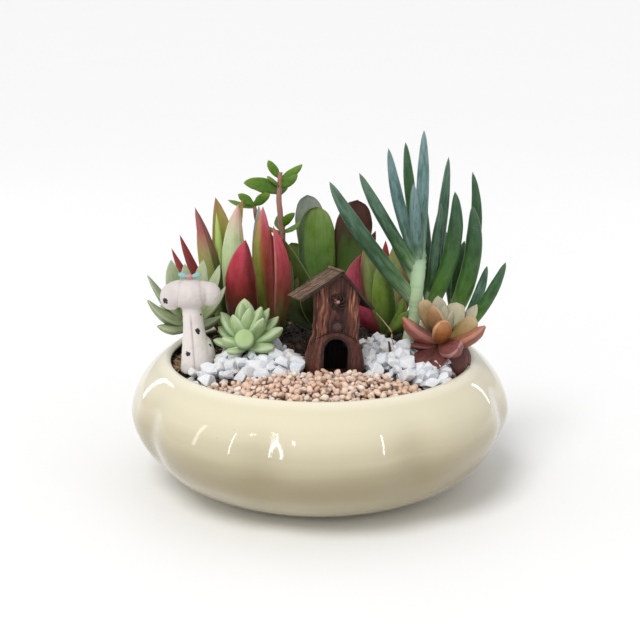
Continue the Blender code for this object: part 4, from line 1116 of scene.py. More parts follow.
def add_leaf(bm, settings, draw, root, tip, width, thick, form, bow, face, skin):
    """A leaf from root to tip; bow bends it aside and face is where its upper side looks."""
    root, tip = Vector(root), Vector(tip)
    middle = (root + tip) / 2.0 + Vector(bow)
    kind, *outlines = form
    broad, deep = (smooth_curve([shares(row) for row in outline]) for outline in outlines)
    along, across, side, tint = (layer(bm, name) for name in LEAF_LAYERS)
    made = bmesh.ops.create_uvsphere(
        bm, u_segments=settings.around, v_segments=settings.along, radius=1.0)["verts"]
    shade, seed = draw.random(), Vector((draw.uniform(0.0, 99.0), draw.uniform(0.0, 99.0), 0.0))
    waver = settings.waver / MM
    reach = (tip - root).length
    rings = {}
    for vert in made:
        x, y, z = vert.co
        way = 0.5 - 0.5 * z
        key = round(z, 4)
        if key not in rings:
            place = root * (1 - way) ** 2 + middle * 2 * way * (1 - way) + tip * way ** 2
            ahead = ((middle - root) * (1 - way) + (tip - middle) * way).normalized()
            sideways = ahead.cross(Vector(face)).normalized()
            rings[key] = (place, sideways, sideways.cross(ahead), broad(way) * width / 2.0, deep(way) * thick)
        place, sideways, through, half, depth = rings[key]
        flat = math.hypot(x, y)
        c, s = (x / flat, y / flat) if flat > 1e-4 else (0.0, 0.0)
        a, b = section_of(kind, c, s) if flat > 1e-4 else (0.0, 0.0)
        curl = 0.0
        if kind == "wavy":
            curl = math.sin(way * 11.0 + seed.x + (2.0 if a > 0.0 else 0.0)) * a * a * 0.8 + a * a * 1.3
        elif kind == "blade":
            curl = a * a * half * 0.16
        vert.co = place + sideways * (a * half) + through * (b * depth + curl * min(1.0, way * 3.0))
        stray = noise.noise_vector(vert.co * (2.2 / reach) + seed) * waver * 2.0
        stray += noise.noise_vector(vert.co * 0.22 + seed) * waver * 0.5
        vert.co += stray * min(1.0, way * 4.0) * (1.0 - 0.6 * way)
        right = 1.0 if sideways.x > 0.0 else -1.0
        vert[along], vert[across], vert[side], vert[tint] = way, c * right, s, shade
    give_finish(made, skin)


SCARS = 95.0


def add_stem(bm, path, radii, skin):
    """A stem through points; radii follow the points, and faint scars ring it."""
    path = [Vector(p) for p in path]
    count = len(path) - 1
    size = smooth_curve([(i / count, r) for i, r in enumerate(radii)])
    along, across, side, tint = (layer(bm, name) for name in LEAF_LAYERS)
    line = smooth_path(path)

    def radius(way):
        return size(way) * (1.0 + 0.05 * math.sin(way * SCARS))

    made = rod(bm, line, radius, 14, 46, 1.0, (0.0, 1.0, 0.02))
    low, high = path[0].z, path[-1].z
    for vert in made:
        vert.co += noise.noise_vector(vert.co * 0.16) * 0.35
        vert[along] = (vert.co.z - low) / (high - low)
        vert[across], vert[side], vert[tint] = 0.0, 0.3, 0.5
    give_finish(made, skin)


def make_plant(name, stem, leaves, settings, skins, seed):
    """One plant: its stem and leaves as one piece, each leaf with its own finish."""
    draw = random.Random(seed)
    bm = bmesh.new()
    used = []
    path, radii, skin = stem
    for finish in [skin] + [row[-1] for row in leaves]:
        if finish not in used:
            used.append(finish)
    add_stem(bm, path, radii, used.index(skin))
    for *row, finish in leaves:
        add_leaf(bm, settings, draw, *row, used.index(finish))
    add_piece(name + "_leaves", bm, [skins[finish] for finish in used], name)


def spoke(centre, azimuth, rise, reach, width, thick, form, skin):
    """A rosette's leaf: out from the centre at an azimuth, up at a rise, bent upwards."""
    a, e = math.radians(azimuth), math.radians(rise)
    out = Vector((math.sin(a) * math.cos(e), -math.cos(a) * math.cos(e), math.sin(e)))
    bow = Vector((0.0, 0.0, -0.12 * reach * math.cos(e)))
    face = Vector((-math.sin(a) * 0.3, math.cos(a) * 0.3, 1.0))
    return (Vector(centre), Vector(centre) + out * reach, width, thick, form, bow, face, skin)


def rosette(core, tips, rings, form, skin, far_skin, face=UPWARD):
    """Leaves from one core: the listed tips, and spokes as (azimuths, rise, reach, width, thick)."""
    leaves = []
    for tip, width, thick, bow, *own in tips:
        leaf_skin, leaf_form, leaf_face = own + [skin, form, face][len(own):]
        leaves.append((core, tip, width, thick, leaf_form, bow, leaf_face, leaf_skin))
    for azimuths, *row in rings:
        leaves += [spoke(core, azimuth, *row, form, far_skin) for azimuth in azimuths]
    return leaves


STEM_LOW = 66.0
FOOT_RISE = 4.0


def shoot(x, y, rows):
    """Long leaves that spread just above the soil: tip, width, thickness, bow, face, skin, maybe a form."""
    foot = (x, y, mound_height(x, y) + FOOT_RISE)
    return [(foot, tip, width, thick, own[0] if own else KEELED, bow, face, skin)
            for tip, width, thick, bow, face, skin, *own in rows]


# A rosette's leaves: tip, width, thickness, bow and perhaps a finish, a form and a face of its own.
DIP = (0, 0, -2.5)
GREEN_TIPS = (
    ((-49, -12, 127), 14.5, 8.5, DIP), ((-64, -17, 119), 15, 8, DIP), ((-38, -22, 124), 14.5, 8.5, DIP),
    ((-33, -14, 121), 10.5, 6.5, DIP), ((-27, -9, 114), 11.5, 6.5, DIP), ((-36, -31, 119), 14, 8, DIP),
    ((-24, -26, 111), 14.5, 8, DIP), ((-30, -38, 101), 15, 7.5, DIP),
    ((-48, -43, 109), 12.5, 12.5, (0, 0, 0), "mint_disc", BLUNT), ((-62, -34, 106), 14, 8, DIP),
    ((-69, -23, 102), 13, 6.5, DIP), ((-56, -27, 120), 13, 7.5, DIP), ((-45, -28, 125), 11, 6.5, DIP),
    ((-51, -18, 126), 10, 6.5, DIP), ((-58, -40, 99), 11.5, 6, DIP),
)
GREEN_RINGS = (
    ((142, 178, 214, 246), 24, 22, 11.5, 6.5), ((124, 166, 226), 50, 21, 10.5, 6.5),
    ((20,), 76, 22, 7, 5), ((150,), 74, 22, 7, 5), ((260,), 78, 23, 6.5, 5),
)
GHOST_TIPS = (
    ((-112, -6, 141), 10, 7.5, (-2, 0, -6)), ((-112, -12, 126), 13.5, 9, (-2, -1, -8)),
    ((-106, -14, 109), 13, 8.5, (0, 0, -6)), ((-99, 17, 146), 14, 6.5, (-5, 1, -2)),
    ((-89, 6, 146), 11, 6, (0, 2, 0)), ((-77, 13, 147), 13, 6, (2, 2, -2)),
    ((-66, 7, 145), 12, 7, (4, 0, -4)), ((-62, -1, 132), 13.5, 8, (3, 0, -6)),
    ((-64, -12, 115), 13, 8, (1, 0, -6)), ((-91, -7, 136), 11.5, 6.5, (0, -2, -5)),
)
GHOST_RINGS = (
    ((138, 174, 212, 246), 22, 25, 11.5, 7),
    ((100,), 66, 30, 8, 5), ((200,), 64, 30, 8.5, 5), ((300,), 68, 31, 8, 5),
)
ORANGE_TIPS = (
    ((53, -26, 118), 14.5, 10.5, (1, -4, -7), "rust", PLUMP),
    ((66.5, -15, 127), 11, 6.5, (-3, 0, 0), "ochre", SPOON, VIEWER),
    ((72, -26, 126), 13, 8, (-1, -2, 0), "caramel", PLUMP, (-0.5, -0.7, 0.5)),
    ((76.5, -41, 119), 13, 8.5, (0, -3, -4), "amber", SPOON, (-0.3, -0.3, 1)),
    ((77, -5, 127), 13, 6, (0, 2, 0), "dove"), ((90, -4, 122), 15, 7, (2, 0, -1), "dove", SPOON),
    ((103, -5, 121), 13, 6.5, (2, 0, -3), "dove"),
    ((100, -24, 117), 12.5, 7.5, (1, -2, -4), "ochre", SPOON, (-0.3, -1, 0.8)),
    ((106, -29, 113), 14, 9.5, (-2, -3, -7), "salmon"),
    ((87, -47, 103.5), 15, 9.5, (-2, 0, -4), "rose", SPOON, (0, -1, 0.7)),
    ((61, -46, 93), 14, 7, (-2, 0, 0), "maroon", SPOON), ((72, -48, 89), 14, 5.5, (0, -3, 3), "maroon"),
    ((90, -35, 79), 16, 6.5, (5, -4, 9), "maroon", OVAL, (0.3, -0.6, 0.7)),
    ((97, -27, 86), 14, 5.5, (4, -2, 7), "maroon", OVAL, (0.5, -0.5, 0.6)),
    ((58, -32, 101), 12, 6, (0, -2, -2), "maroon"),
)
ORANGE_RINGS = (
    ((112, 148, 184, 222), 24, 23, 11.5, 6.5), ((40, 170), 70, 24, 7.5, 5), ((290,), 72, 25, 7.5, 5),
)
# A shoot's leaves: tip, width, thickness, bow, face, finish and perhaps a form of its own.
RED_LEFT = (
    ((-95, 38, 158.5), 8, 4.5, (-3, 0, 0), AWAY, "dark_red"),
    ((-100, 31, 150.5), 7.5, 4.5, (-5, 0, -2), AWAY, "dark_red"),
    ((-83, 24, 180), 12, 6, (4, -1, 0), AWAY, "red_tipped"),
    ((-70, 35, 184.5), 18, 6, (8, 1, 0), VIEWER, "olive_lime", POINTED),
    ((-69, 28, 176), 6.5, 4, (0, -1, 0), AWAY, "fresh_green"),
    ((-52, 46, 181), 14, 5, (-9, 3, 6), VIEWER, "olive_lime", POINTED),
    ((-84, 52, 160), 12, 5, (0, 4, 0), AWAY, "olive_lime"),
    ((-64, 56, 150), 11, 5, (2, 4, 0), AWAY, "flame"),
)
RED_MIDDLE = (
    ((-54, 22, 182.5), 17, 7, (-12, 2, 0), AWAY, "blush"),
    ((-48.5, 3, 162.5), 22, 10, (-8, -3, 0), AWAY, "crimson"),
    ((-55, 44, 160), 14, 5.5, (0, 4, 0), AWAY, "crimson"),
    ((-40, 44, 150), 12, 5, (2, 3, 0), AWAY, "flame"),
)
RED_RIGHT = (
    ((-38, 27, 180), 15.5, 7, (-6, 2, 0), AWAY, "flame"),
    ((-41, 36, 179), 12, 4.5, (-6, 2, 0), VIEWER, "paddle_grey", POINTED),
    ((-33, 14, 168), 9, 5.5, (0, 0, 0), AWAY, "dark_red"),
    ((-31, 11, 170), 11.5, 6, (13, -3, 0), AWAY, "scarlet"),
    ((-20, 16, 146), 10, 5, (3, 0, 0), AWAY, "night_green"),
    ((-32, 39, 142), 11, 5, (0, 2, 0), AWAY, "flame"),
    ((-15, 33, 130), 10, 5, (2, 2, -2), AWAY, "night_green"),
)
GREEN_SHOOT = (
    ((27.5, 22, 148.5), 14, 5.5, (-25, -4, -4), AWAY, "pink_red"),
    ((29.5, 26, 153), 13, 5.5, (-3, 0, 0), AWAY, "tan_edged"),
    ((35.5, 34, 154), 13, 5, (0, 2, 0), VIEWER, "lime_salmon", POINTED),
    ((38, 13, 143), 16, 7, (5, -3, 0), AWAY, "lime"),
    ((51.5, 38, 155), 21, 6, (10, 0, 0), VIEWER, "lime_salmon", POINTED),
    ((45, 54, 151), 10, 5, (1, 4, 0), AWAY, "dark_red"),
    ((56, 24, 118), 12, 5.5, (4, -2, -4), AWAY, "lime"),
    ((60, 22, 110), 12, 5, (3, -1, -4), AWAY, "lime"),
    ((60, 50, 134), 11, 5, (2, 3, -2), AWAY, "lime"),
    ((25, 22, 120), 14, 5, (-5, -3, -2), AWAY, "pink_red"),
)
PADDLES = (
    ((-9, 66, 180.5), 22, 5, (-3, 2, 0), VIEWER, "paddle_grey", PADDLE),
    ((-1.5, 42, 177), 25, 6, (-9, -3, 0), VIEWER, "paddle", PADDLE),
    ((-20, 60, 148), 16, 5, (-4, 2, 0), VIEWER, "paddle", PADDLE),
    ((25.5, 47, 180.5), 25.5, 5.5, (4, -1, 0), VIEWER, "paddle_wine", PADDLE),
    ((38.5, 62, 156), 14, 5, (3, 3, 0), VIEWER, "wine_tip", POINTED),
    ((-25, 34, 157), 20, 5.5, (-13, 0, -4), VIEWER, "night_green", POINTED),
    ((-30, 22, 122), 17, 5, (-2, -6, -6), VIEWER, "night_green", POINTED),
    ((-8, 18, 132), 20, 5, (-6, -4, -4), VIEWER, "night_green", POINTED),
    ((14, 82, 150), 22, 5, (0, 4, -4), AWAY, "paddle", PADDLE),
)
SPRIG_STEM = ((-26, 56, STEM_LOW), (-26, 56, 120), (-26, 55, 152), (-28, 55, 180), (-27, 55, 198))
SPRIG_RADII = (2.6, 2.4, 2.3, 2, 1.5)
# The sprig's leaves and twigs: root, tip, width, bow and, for a leaf, its face.
SPRIG = (
    ((-27, 55, 194), (-35, 53, 206.5), 6.5, (-2, 0, 1), VIEWER),
    ((-27, 55, 193), (-12, 55, 203.5), 6, (1, 0, -2), VIEWER),
    ((-27, 55, 188), (-36, 51, 196), 6, (0, 0, 0), TILTED),
    ((-27, 55, 188), (-15, 51, 197), 6.5, (0, 0, -1), VIEWER),
    ((-28, 55, 184), (-52, 53, 191), 10.5, (0, 0, 4), VIEWER),
    ((-28, 55, 182), (-24, 70, 189), 8.5, (0, 0, 1), UPWARD),
    ((-27, 55, 156), (-41, 50, 163), 6.5, (0, 0, -1), TILTED),
    ((-27, 55, 156), (-10, 53, 167), 7.5, (2, 0, -3), TILTED),
    ((-27, 55, 160), (-17, 50, 171), 6, (0, 0, 1), VIEWER),
    ((-27, 55, 158), (-28, 71, 166), 8.5, (0, 0, -1), UPWARD),
    ((-45, 56, 174), (-63, 58, 178), 6.5, (0, 0, -2), TILTED),
    ((-45, 56, 175), (-34, 51, 184), 7, (0, 0, 1), VIEWER),
    ((-45, 56, 174), (-56, 54, 183), 6.5, (0, 0, 1), VIEWER),
)
SPRIG_TWIGS = (
    ((-29, 55, 148), (-43, 56, 162), 4.5, (0, 0, -1)), ((-42, 56, 159), (-45, 56, 178), 4, (-1, 0, 0)),
)
# Shoots of long round leaves: stem, its radii, and each leaf's root, tip, width, bow and finish.
CHALK = {
    "chalk_shoot_1": (
        ((58, 5, STEM_LOW), (58.5, 5, 92), (62.5, 5, 108), (63.5, 6, 124), (65, 9, 142), (66, 11, 154)),
        (3.8, 3.9, 4.2, 4.6, 5, 4),
        ((65.5, 8.5, 117), (6, -14, 204), 11.5, (-10, -3, 3), "chalk"),
        ((65.5, 10, 138), (25, -8, 208.5), 9.5, (-3, 0, -2), "chalk"),
        ((65.5, 10.5, 144), (44, 8, 222), 9, (-4, 0, -3), "chalk_blue"),
        ((65, 10, 146), (56.5, 33, 222), 8.5, (-1, 2, 0), "chalk_green"),
        ((65.5, 10, 140), (60, -4, 201), 8.5, (-1, -1, 0), "chalk_blue"),
        ((65, 10, 144), (67, 9, 233.5), 9.5, (2, 0, 0), "chalk_blue"),
        ((63, 8, 132), (37, 28, 187), 7.5, (-2, 3, 0), "chalk")),
    "chalk_shoot_2": (
        ((73, 22, STEM_LOW), (73, 22, 110), (75, 23, 128)), (3.4, 3.2, 2.6),
        ((73.5, 22, 110), (87.5, 6, 194), 12, (13, -3, 2), "chalk_green"),
        ((75, 23, 112), (80, 17, 184), 8.5, (-1, -2, 0), "chalk"),
        ((74, 23, 110), (86.5, 46, 210), 8.5, (2, 0, 2), "chalk"),
        ((74, 22, 108), (72, 48, 176), 8.5, (-2, 4, 0), "chalk")),
    "chalk_shoot_3": (
        ((90, 26, STEM_LOW), (90, 26, 104), (92, 27, 118)), (3.2, 3, 2.4),
        ((90, 24, 106), (100, 14, 183), 13.5, (12, -4, 0), "chalk_green"),
        ((92, 27, 106), (97, 30, 156), 8.5, (-3, 2, 0), "chalk_green"),
        ((91, 26, 106), (102, 40, 201), 9, (16, 3, 4), "chalk_green"),
        ((91, 26, 106), (86, 60, 158), 8.5, (0, 3, -3), "chalk")),
    "chalk_shoot_4": (
        ((92, 6, STEM_LOW), (92, 6, 100), (97, 7, 106)), (2.8, 2.6, 2.2),
        ((95, 6, 100), (122, 5, 147), 9, (4, 0, -5), "chalk_green"),
        ((94, 6, 100), (112, 24, 140), 8, (3, 0, -3), "chalk")),
}
FINGER_WIDE, FINGER_THICK = 0.9, 0.72
# Plants on plain upright stems: slot, foot, height of the stem's top, and its radius low and high.
UPRIGHT = {
    "green_rosette": ("pale_green_leaf", -48, -20, 112, 3, 2.5),
    "ghost_rosette": ("grey_green_leaf", -86, 5, 118, 3.2, 2.5),
    "orange_rosette": ("orange_leaf", 80, -17, 111, 3, 2.5),
    "red_shoot_left": ("red_leaf", -65, 31, 102, 3.6, 3),
    "red_shoot_middle": ("red_leaf", -49, 24, 102, 4.4, 4),
    "red_shoot_right": ("red_leaf", -31, 24, 102, 3.4, 3),
    "green_shoot": ("yellow_green_leaf", 43, 30, 102, 4.2, 3.6),
    "paddle_plant": ("dark_green_leaf", 8, 49, 103, 4.4, 4),
}
# Rosettes: height of the core, then what rosette() takes.
ROSETTES = {
    "green_rosette": (99, GREEN_TIPS, GREEN_RINGS, PLUMP, "mint", "mint"),
    "ghost_rosette": (106, GHOST_TIPS, GHOST_RINGS, KEELED, "ghost", "ghost", TILTED),
    "orange_rosette": (99, ORANGE_TIPS, ORANGE_RINGS, PLUMP, "amber", "dove"),
}
SHOOTS = {
    "red_shoot_left": RED_LEFT, "red_shoot_middle": RED_MIDDLE, "red_shoot_right": RED_RIGHT,
    "green_shoot": GREEN_SHOOT, "paddle_plant": PADDLES,
}
SPRIG_SEED = 20
CHALK_SEED = 30


def make_plants(settings):
    """Every plant, each from its own seed."""
    skins = {name: leaf_material(name) for name in SKINS}
    for seed, (name, (slot, x, y, top, low, high)) in enumerate(UPRIGHT.items()):
        if name in ROSETTES:
            height, *leafage = ROSETTES[name]
            leaves = rosette((x, y, height), *leafage)
        else:
            leaves = shoot(x, y, SHOOTS[name])
        path = ((x, y, STEM_LOW), (x, y, (STEM_LOW + top) / 2.0), (x, y, top))
        make_plant(name, (path, (low, low, high), "woody_stem"), leaves, settings, skins, seed)
    leaves = [(root, tip, width, 2.6, OVAL, bow, face, "sprig") for root, tip, width, bow, face in SPRIG]
    leaves += [(root, tip, wide, wide, TWIG, bow, UPWARD, "sprig_stem")
               for root, tip, wide, bow in SPRIG_TWIGS]
    stem = (SPRIG_STEM, SPRIG_RADII, "sprig_stem")
    make_plant("sprig", stem, leaves, settings, skins, SPRIG_SEED)
    for i, (name, (path, radii, *fingers)) in enumerate(CHALK.items()):
        leaves = [(root, tip, width * FINGER_WIDE, width * FINGER_THICK, FINGER, bow, VIEWER, skin)
                  for root, tip, width, bow, skin in fingers]
        stem = (path, radii, "pale_stem")
        make_plant(name, stem, leaves, settings, skins, CHALK_SEED + i)


# House

HOUSE_PLACE = Vector((8.6, -45.0, 88.4))
HOUSE_STAND = Matrix.LocRotScale(
    HOUSE_PLACE, Euler((-math.radians(7.0), math.radians(3.0), math.radians(4.0))), None)
HOUSE_WIDTH = 28.5
HOUSE_DEPTH = 20.0
SQUARENESS = 0.7
TRUNK_LOW = -4.0
TRUNK_TALL = 71.0
TRUNK_COLUMNS = 144
TRUNK_CUTS = 95
FLARE = smooth_curve(((-4.0, 1.22), (6.0, 1.21), (12.0, 1.16), (17.0, 1.09), (24.0, 1.0), (67.0, 1.0)))
RIDGE = Vector((-1.5, 0.0, 63.6))
ROOF_TURN = math.radians(16.0)
SLOPES = {-1.0: math.radians(33.0), 1.0: math.radians(46.0)}
ROOF_LENGTH = 33.0
ROOF_DEPTH = 25.0
RIDGE_HALF = 12.2
DOOR_WIDTH = 15.2
DOOR_LOW = 1.5
DOOR_TOP = 21.6
ARCH_SPRING = DOOR_TOP - DOOR_WIDTH / 2.0
PLANKS = 5
WINDOW_Z = 29.8
BROW_HALF = 12.0
ORNAMENT_Z = 45.0
PETALS = 7
# One arc of the ornament: distance from its middle and turn.
PETAL = ((1.9, 0.0), (3.0, 0.15), (4.2, 0.55), (5.1, 1.05), (5.2, 1.55))


def stand_house(name, bm, material, sharp=None):
    """Tilt a piece of the house, drawn upright about its own foot, and finish it."""
    bmesh.ops.transform(bm, matrix=HOUSE_STAND, verts=bm.verts)
    add_piece(name, bm, [material], "tree_house", sharp)


def roof_frame(side):
    """Where one slope of the roof starts: X runs down the slope and Z off it."""
    turn = Matrix.Rotation(ROOF_TURN, 4, "Z") @ Matrix.Rotation(side * SLOPES[side], 4, "Y")
    return Matrix.Translation(RIDGE) @ turn


def root_swell(angle, flare):
    """How much the roots swell the flared foot at an angle."""
    return 1.0 + (flare - 1.0) * 0.30 * math.cos(4.0 * angle + 0.6)


def trunk_place(angle, height):
    """A place on the trunk's skin, which flares into roots and has an apron round the door."""
    flare = FLARE(height)
    root = root_swell(angle, flare)
    x = math.copysign(abs(math.cos(angle)) ** SQUARENESS, math.cos(angle)) * HOUSE_WIDTH / 2.0
    y = math.copysign(abs(math.sin(angle)) ** SQUARENESS, math.sin(angle)) * HOUSE_DEPTH / 2.0
    return Vector((x * flare * root, y * flare * root, height))


def front_of(x, height):
    """How far forward the trunk's front stands at a place."""
    flare = FLARE(height)
    root = 1.0
    for _ in range(3):
        share = min(0.999, abs(x) / (HOUSE_WIDTH / 2.0 * flare * root))
        angle = -math.acos(math.copysign(share ** (1.0 / SQUARENESS), x))
        root = root_swell(angle, flare)
    return trunk_place(angle, height).y


def apron_top(x):
    """Upper edge of the smooth apron round the door."""
    return 26.5 - 0.040 * x * x


def bark_height(place):
    """Long fibres of the bark, which run up the trunk."""
    p = Vector(place)
    warp = noise.noise(p * 0.07) * 1.6
    broad = noise.noise(Vector((p.x * 0.34 + warp, p.y * 0.34, p.z * 0.05 + 3.0)))
    fibre = noise.noise(Vector((p.x * 0.85 + warp, p.y * 0.85, p.z * 0.035)))
    fine = noise.noise(Vector((p.x * 1.9 + warp, p.y * 1.9, p.z * 0.06 + 9.0)))
    return 0.45 * broad + 0.75 * fibre + 0.45 * fine


def bark_material(settings):
    """Cast bark, stained dark in its grooves and rubbed to a warm brown on its ridges, with painted shade in
    the doorway's reveal.
    """
    paint = Paint("cast_bark", coat_weight=0.08, coat_roughness=0.3, specular_ior_level=0.3)
    grain = paint.grain(1.0, 5.0, paint.place((1300.0, 1300.0, 70.0)), rough=0.6)
    cloud = paint.grain(60.0, 3.0)
    worn = paint.own("worn") + (grain - 0.5) * 1.1 + (cloud - 0.5) * 0.4
    base = paint.mix(worn.step(0.20, 0.62), (0.024, 0.007, 0.005), settings.bark)
    base = paint.mix(worn.step(0.62, 1.05) * 0.9, base, settings.worn)
    apron = paint.mix(grain.step(0.35, 0.7), (0.050, 0.014, 0.009), (0.125, 0.038, 0.025))
    base = paint.mix(paint.own("apron") * 0.85, base, apron)
    base = paint.mix(paint.own("centre") * 0.68, base, (0.036, 0.010, 0.008))
    # Painted shade: the doorway's reveal turns near black.
    base = paint.mix(paint.own("soot"), base, (0.006, 0.002, 0.0015))
    paint.relief(grain + cloud * 0.4, 0.0009, 0.8)
    return paint.finish(base, 0.55 - worn.step(0.5, 1.0) * 0.15 + cloud * 0.1)


def make_trunk(settings):
    """The bark trunk with its smooth apron, cut by the roof's slopes, the doorway and the soil."""
    bm = bmesh.new()
    bmesh.ops.create_cone(
        bm, cap_ends=True, segments=TRUNK_COLUMNS, radius1=1.0, radius2=1.0, depth=1.0)
    upright = [edge for edge in bm.edges if abs(edge.verts[0].co.z - edge.verts[1].co.z) > 0.5]
    bmesh.ops.subdivide_edges(bm, edges=upright, cuts=TRUNK_CUTS, use_grid_fill=True)
    worn, apron, centre = (layer(bm, name) for name in ("worn", "apron", "centre"))
    for vert in bm.verts:
        angle = math.atan2(vert.co.y, vert.co.x)
        height = TRUNK_LOW + (vert.co.z + 0.5) * TRUNK_TALL
        place = trunk_place(angle, height)
        out = Vector((math.cos(angle), math.sin(angle), 0.0))
        bark = bark_height(place)
        skirt = clamp((apron_top(place.x) - height) / 1.4) if place.y < 2.0 else 0.0
        vert.co = place + out * (bark * (1.0 - 0.88 * skirt) * 0.9 + 0.55 * skirt)
        beside = max(0.0, 1.0 - abs(abs(place.x - 1.0) - 10.0) / 5.0) * (place.y < 0.0)
        vert[worn] = clamp(0.42 + 0.22 * beside + bark * 0.85)
        vert[apron] = skirt
        if place.y < 0.0 and height > 24.0:
            stray = noise.noise(place * 0.25) * 2.0
            off_rose = 1.0 - math.exp(-(((height - ORNAMENT_Z) / 6.0) ** 4))
            vert[centre] = clamp((8.0 + stray - abs(place.x - 1.0)) / 2.5) * (1.0 - skirt) * off_rose
    for side in (-1.0, 1.0):
        cut_away(bm, RIDGE, roof_frame(side).to_3x3() @ Vector((0.0, 0.0, 1.0)))
    arch = arch_block()
    bm = settled("trunk", bm, [("BOOLEAN", {"operation": "DIFFERENCE", "solver": "EXACT", "object": arch})])
    discard(arch)
    # Painted shade: the reveal inside the doorway, up to the arch, is marked to be painted near black.
    soot = layer(bm, "soot")
    for vert in bm.verts:
        x, y, z = vert.co
        inside = y > front_of(0.0, min(z, 20.0)) + 0.9 and abs(x) < DOOR_WIDTH / 2.0 + 0.4
        if inside and z - arch_height(x) < 0.3:
            vert[soot] = 0.85
    bmesh.ops.transform(bm, matrix=HOUSE_STAND, verts=bm.verts)
    cut_away(bm, (0.0, 0.0, HOUSE_PLACE.z), (0.0, 0.0, -1.0))
    add_piece("house_trunk", bm, [bark_material(settings)], "tree_house", 50.0)


def arch_height(x):
    """Top of the doorway at a distance from its middle."""
    half = DOOR_WIDTH / 2.0
    return ARCH_SPRING + math.sqrt(max(0.0, half * half - x * x))


def arch_outline(half, low, steps=14):
    """An arch from foot to foot: upright sides and a round top, as (x, z)."""
    points = [(half, low), (half, (low + ARCH_SPRING) / 2.0)]
    for i in range(steps + 1):
        angle = math.pi * i / steps
        points.append((half * math.cos(angle), ARCH_SPRING + half * math.sin(angle)))
    return points + [(-half, (low + ARCH_SPRING) / 2.0), (-half, low)]


def arch_block():
    """A hidden block in the outline of the doorway, which is cut out of the trunk."""
    bm = bmesh.new()
    front, depth = -22.0, 22.0
    face = bm.faces.new([bm.verts.new((x, front, z)) for x, z in arch_outline(DOOR_WIDTH / 2.0, DOOR_LOW)])
    pushed = bmesh.ops.extrude_face_region(bm, geom=[face])["geom"]
    moved = [item for item in pushed if isinstance(item, bmesh.types.BMVert)]
    bmesh.ops.translate(bm, vec=(0.0, depth, 0.0), verts=moved)
    bmesh.ops.recalc_face_normals(bm, faces=bm.faces)
    made = new_object("doorway", new_mesh("doorway", bm))
    made.hide_render = True
    return made


def dark_wood_material(name, dark, light, scale=900.0, shine=0.35, rubbed=(0.12, 0.045, 0.03)):
    """Stained wood with a grain that runs up, rubbed lighter along its fibres."""
    paint = Paint(name, coat_weight=0.1 * shine, coat_roughness=0.35, specular_ior_level=shine)
    grain = paint.grain(1.0, 4.0, paint.place((scale, scale, scale * 0.09)), rough=0.6)
    base = paint.mix(grain.step(0.35, 0.72), dark, light)
    base = paint.mix(paint.own("worn") * grain.step(0.2, 0.5), base, rubbed)
    paint.relief(grain, 0.0005, 0.8)
    return paint.finish(base, 0.45 + grain * 0.25)


def make_door():
    """The plank door deep in the arch."""
    bm = bmesh.new()
    layer(bm, "worn")
    wide = DOOR_WIDTH / PLANKS
    for i in range(PLANKS):
        x = (i - (PLANKS - 1) / 2.0) * wide
        top = arch_height(abs(x) + wide / 2.0) + 0.6
        place = Matrix.Translation((x, -1.9, (top + DOOR_LOW) / 2.0))
        block(bm, (wide - 0.08, 1.0, top - DOOR_LOW), place, 0.12)
    wood = dark_wood_material("door_wood", (0.0015, 0.0006, 0.0005), (0.005, 0.0018, 0.0012), shine=0.05)
    stand_house("house_door", bm, wood, 35.0)


def make_mouldings():
    """The door's moulding, the window's ring, the ornament's swirl and the brow over the apron."""
    bm = bmesh.new()
    worn = layer(bm, "worn")
    jamb = [Vector((x, front_of(x, min(z, 24.0)) - 0.35, z))
            for x, z in arch_outline(DOOR_WIDTH / 2.0 + 0.9, 0.5, 16)]
    made = rod(bm, smooth_path(jamb), lambda way: 0.95, 10, 70, 0.8, (0.0, 1.0, 0.0))
    made += ring(bm, 3.3, 0.8, Matrix.Translation((0.0, front_of(0.0, WINDOW_Z) - 0.5, WINDOW_Z)))
    middle = Vector((0.0, front_of(0.0, ORNAMENT_Z) - 1.0, ORNAMENT_Z))
    for i in range(PETALS):
        turn = math.tau * i / PETALS
        arc = [middle + Vector((math.cos(turn + a) * far, -0.3 * math.sin(far), math.sin(turn + a) * far))
               for far, a in PETAL]
        made += rod(bm, smooth_path(arc), petal_radius, 8, 16, 1.0, (0, 1, 0))
    brow = [Vector((x, front_of(x, 24.0) - 0.35, apron_top(x)))
            for x in (BROW_HALF * i / 3.0 for i in range(-3, 4))]
    made += rod(bm, smooth_path(brow), lambda way: 0.55, 8, 40, 0.8, (0.0, 1.0, 0.0))
    for vert in made:
        vert[worn] = 0.15
        vert.co += noise.noise_vector(vert.co * 0.9) * 0.12
    stand_house("house_mouldings", bm, dark_wood_material(
        "moulding_stain", (0.005, 0.002, 0.0015), (0.022, 0.007, 0.005)))


def petal_radius(way):
    """The ornament's arcs taper to both ends."""
    return 0.2 + 0.6 * math.sin(math.pi * way) ** 0.6


def make_bosses():
    """The window's pane and the middle of the ornament."""
    bm = bmesh.new()
    worn = layer(bm, "worn")
    for height, radius, depth, share in ((WINDOW_Z, 3.2, 0.8, 0.1), (ORNAMENT_Z, 1.2, 1.0, 1.0)):
        for vert in dome(bm, radius, depth, (0.0, front_of(0.0, height) - 0.3, height)):
            vert[worn] = share
    for vert in bm.verts:
        vert.co.y -= 0.25 * noise.noise(vert.co * 0.8)
    stand_house("house_rosette_and_pane", bm, dark_wood_material(
        "rose_stain", (0.016, 0.005, 0.004), (0.050, 0.017, 0.013), 500.0, rubbed=(0.44, 0.26, 0.24)))


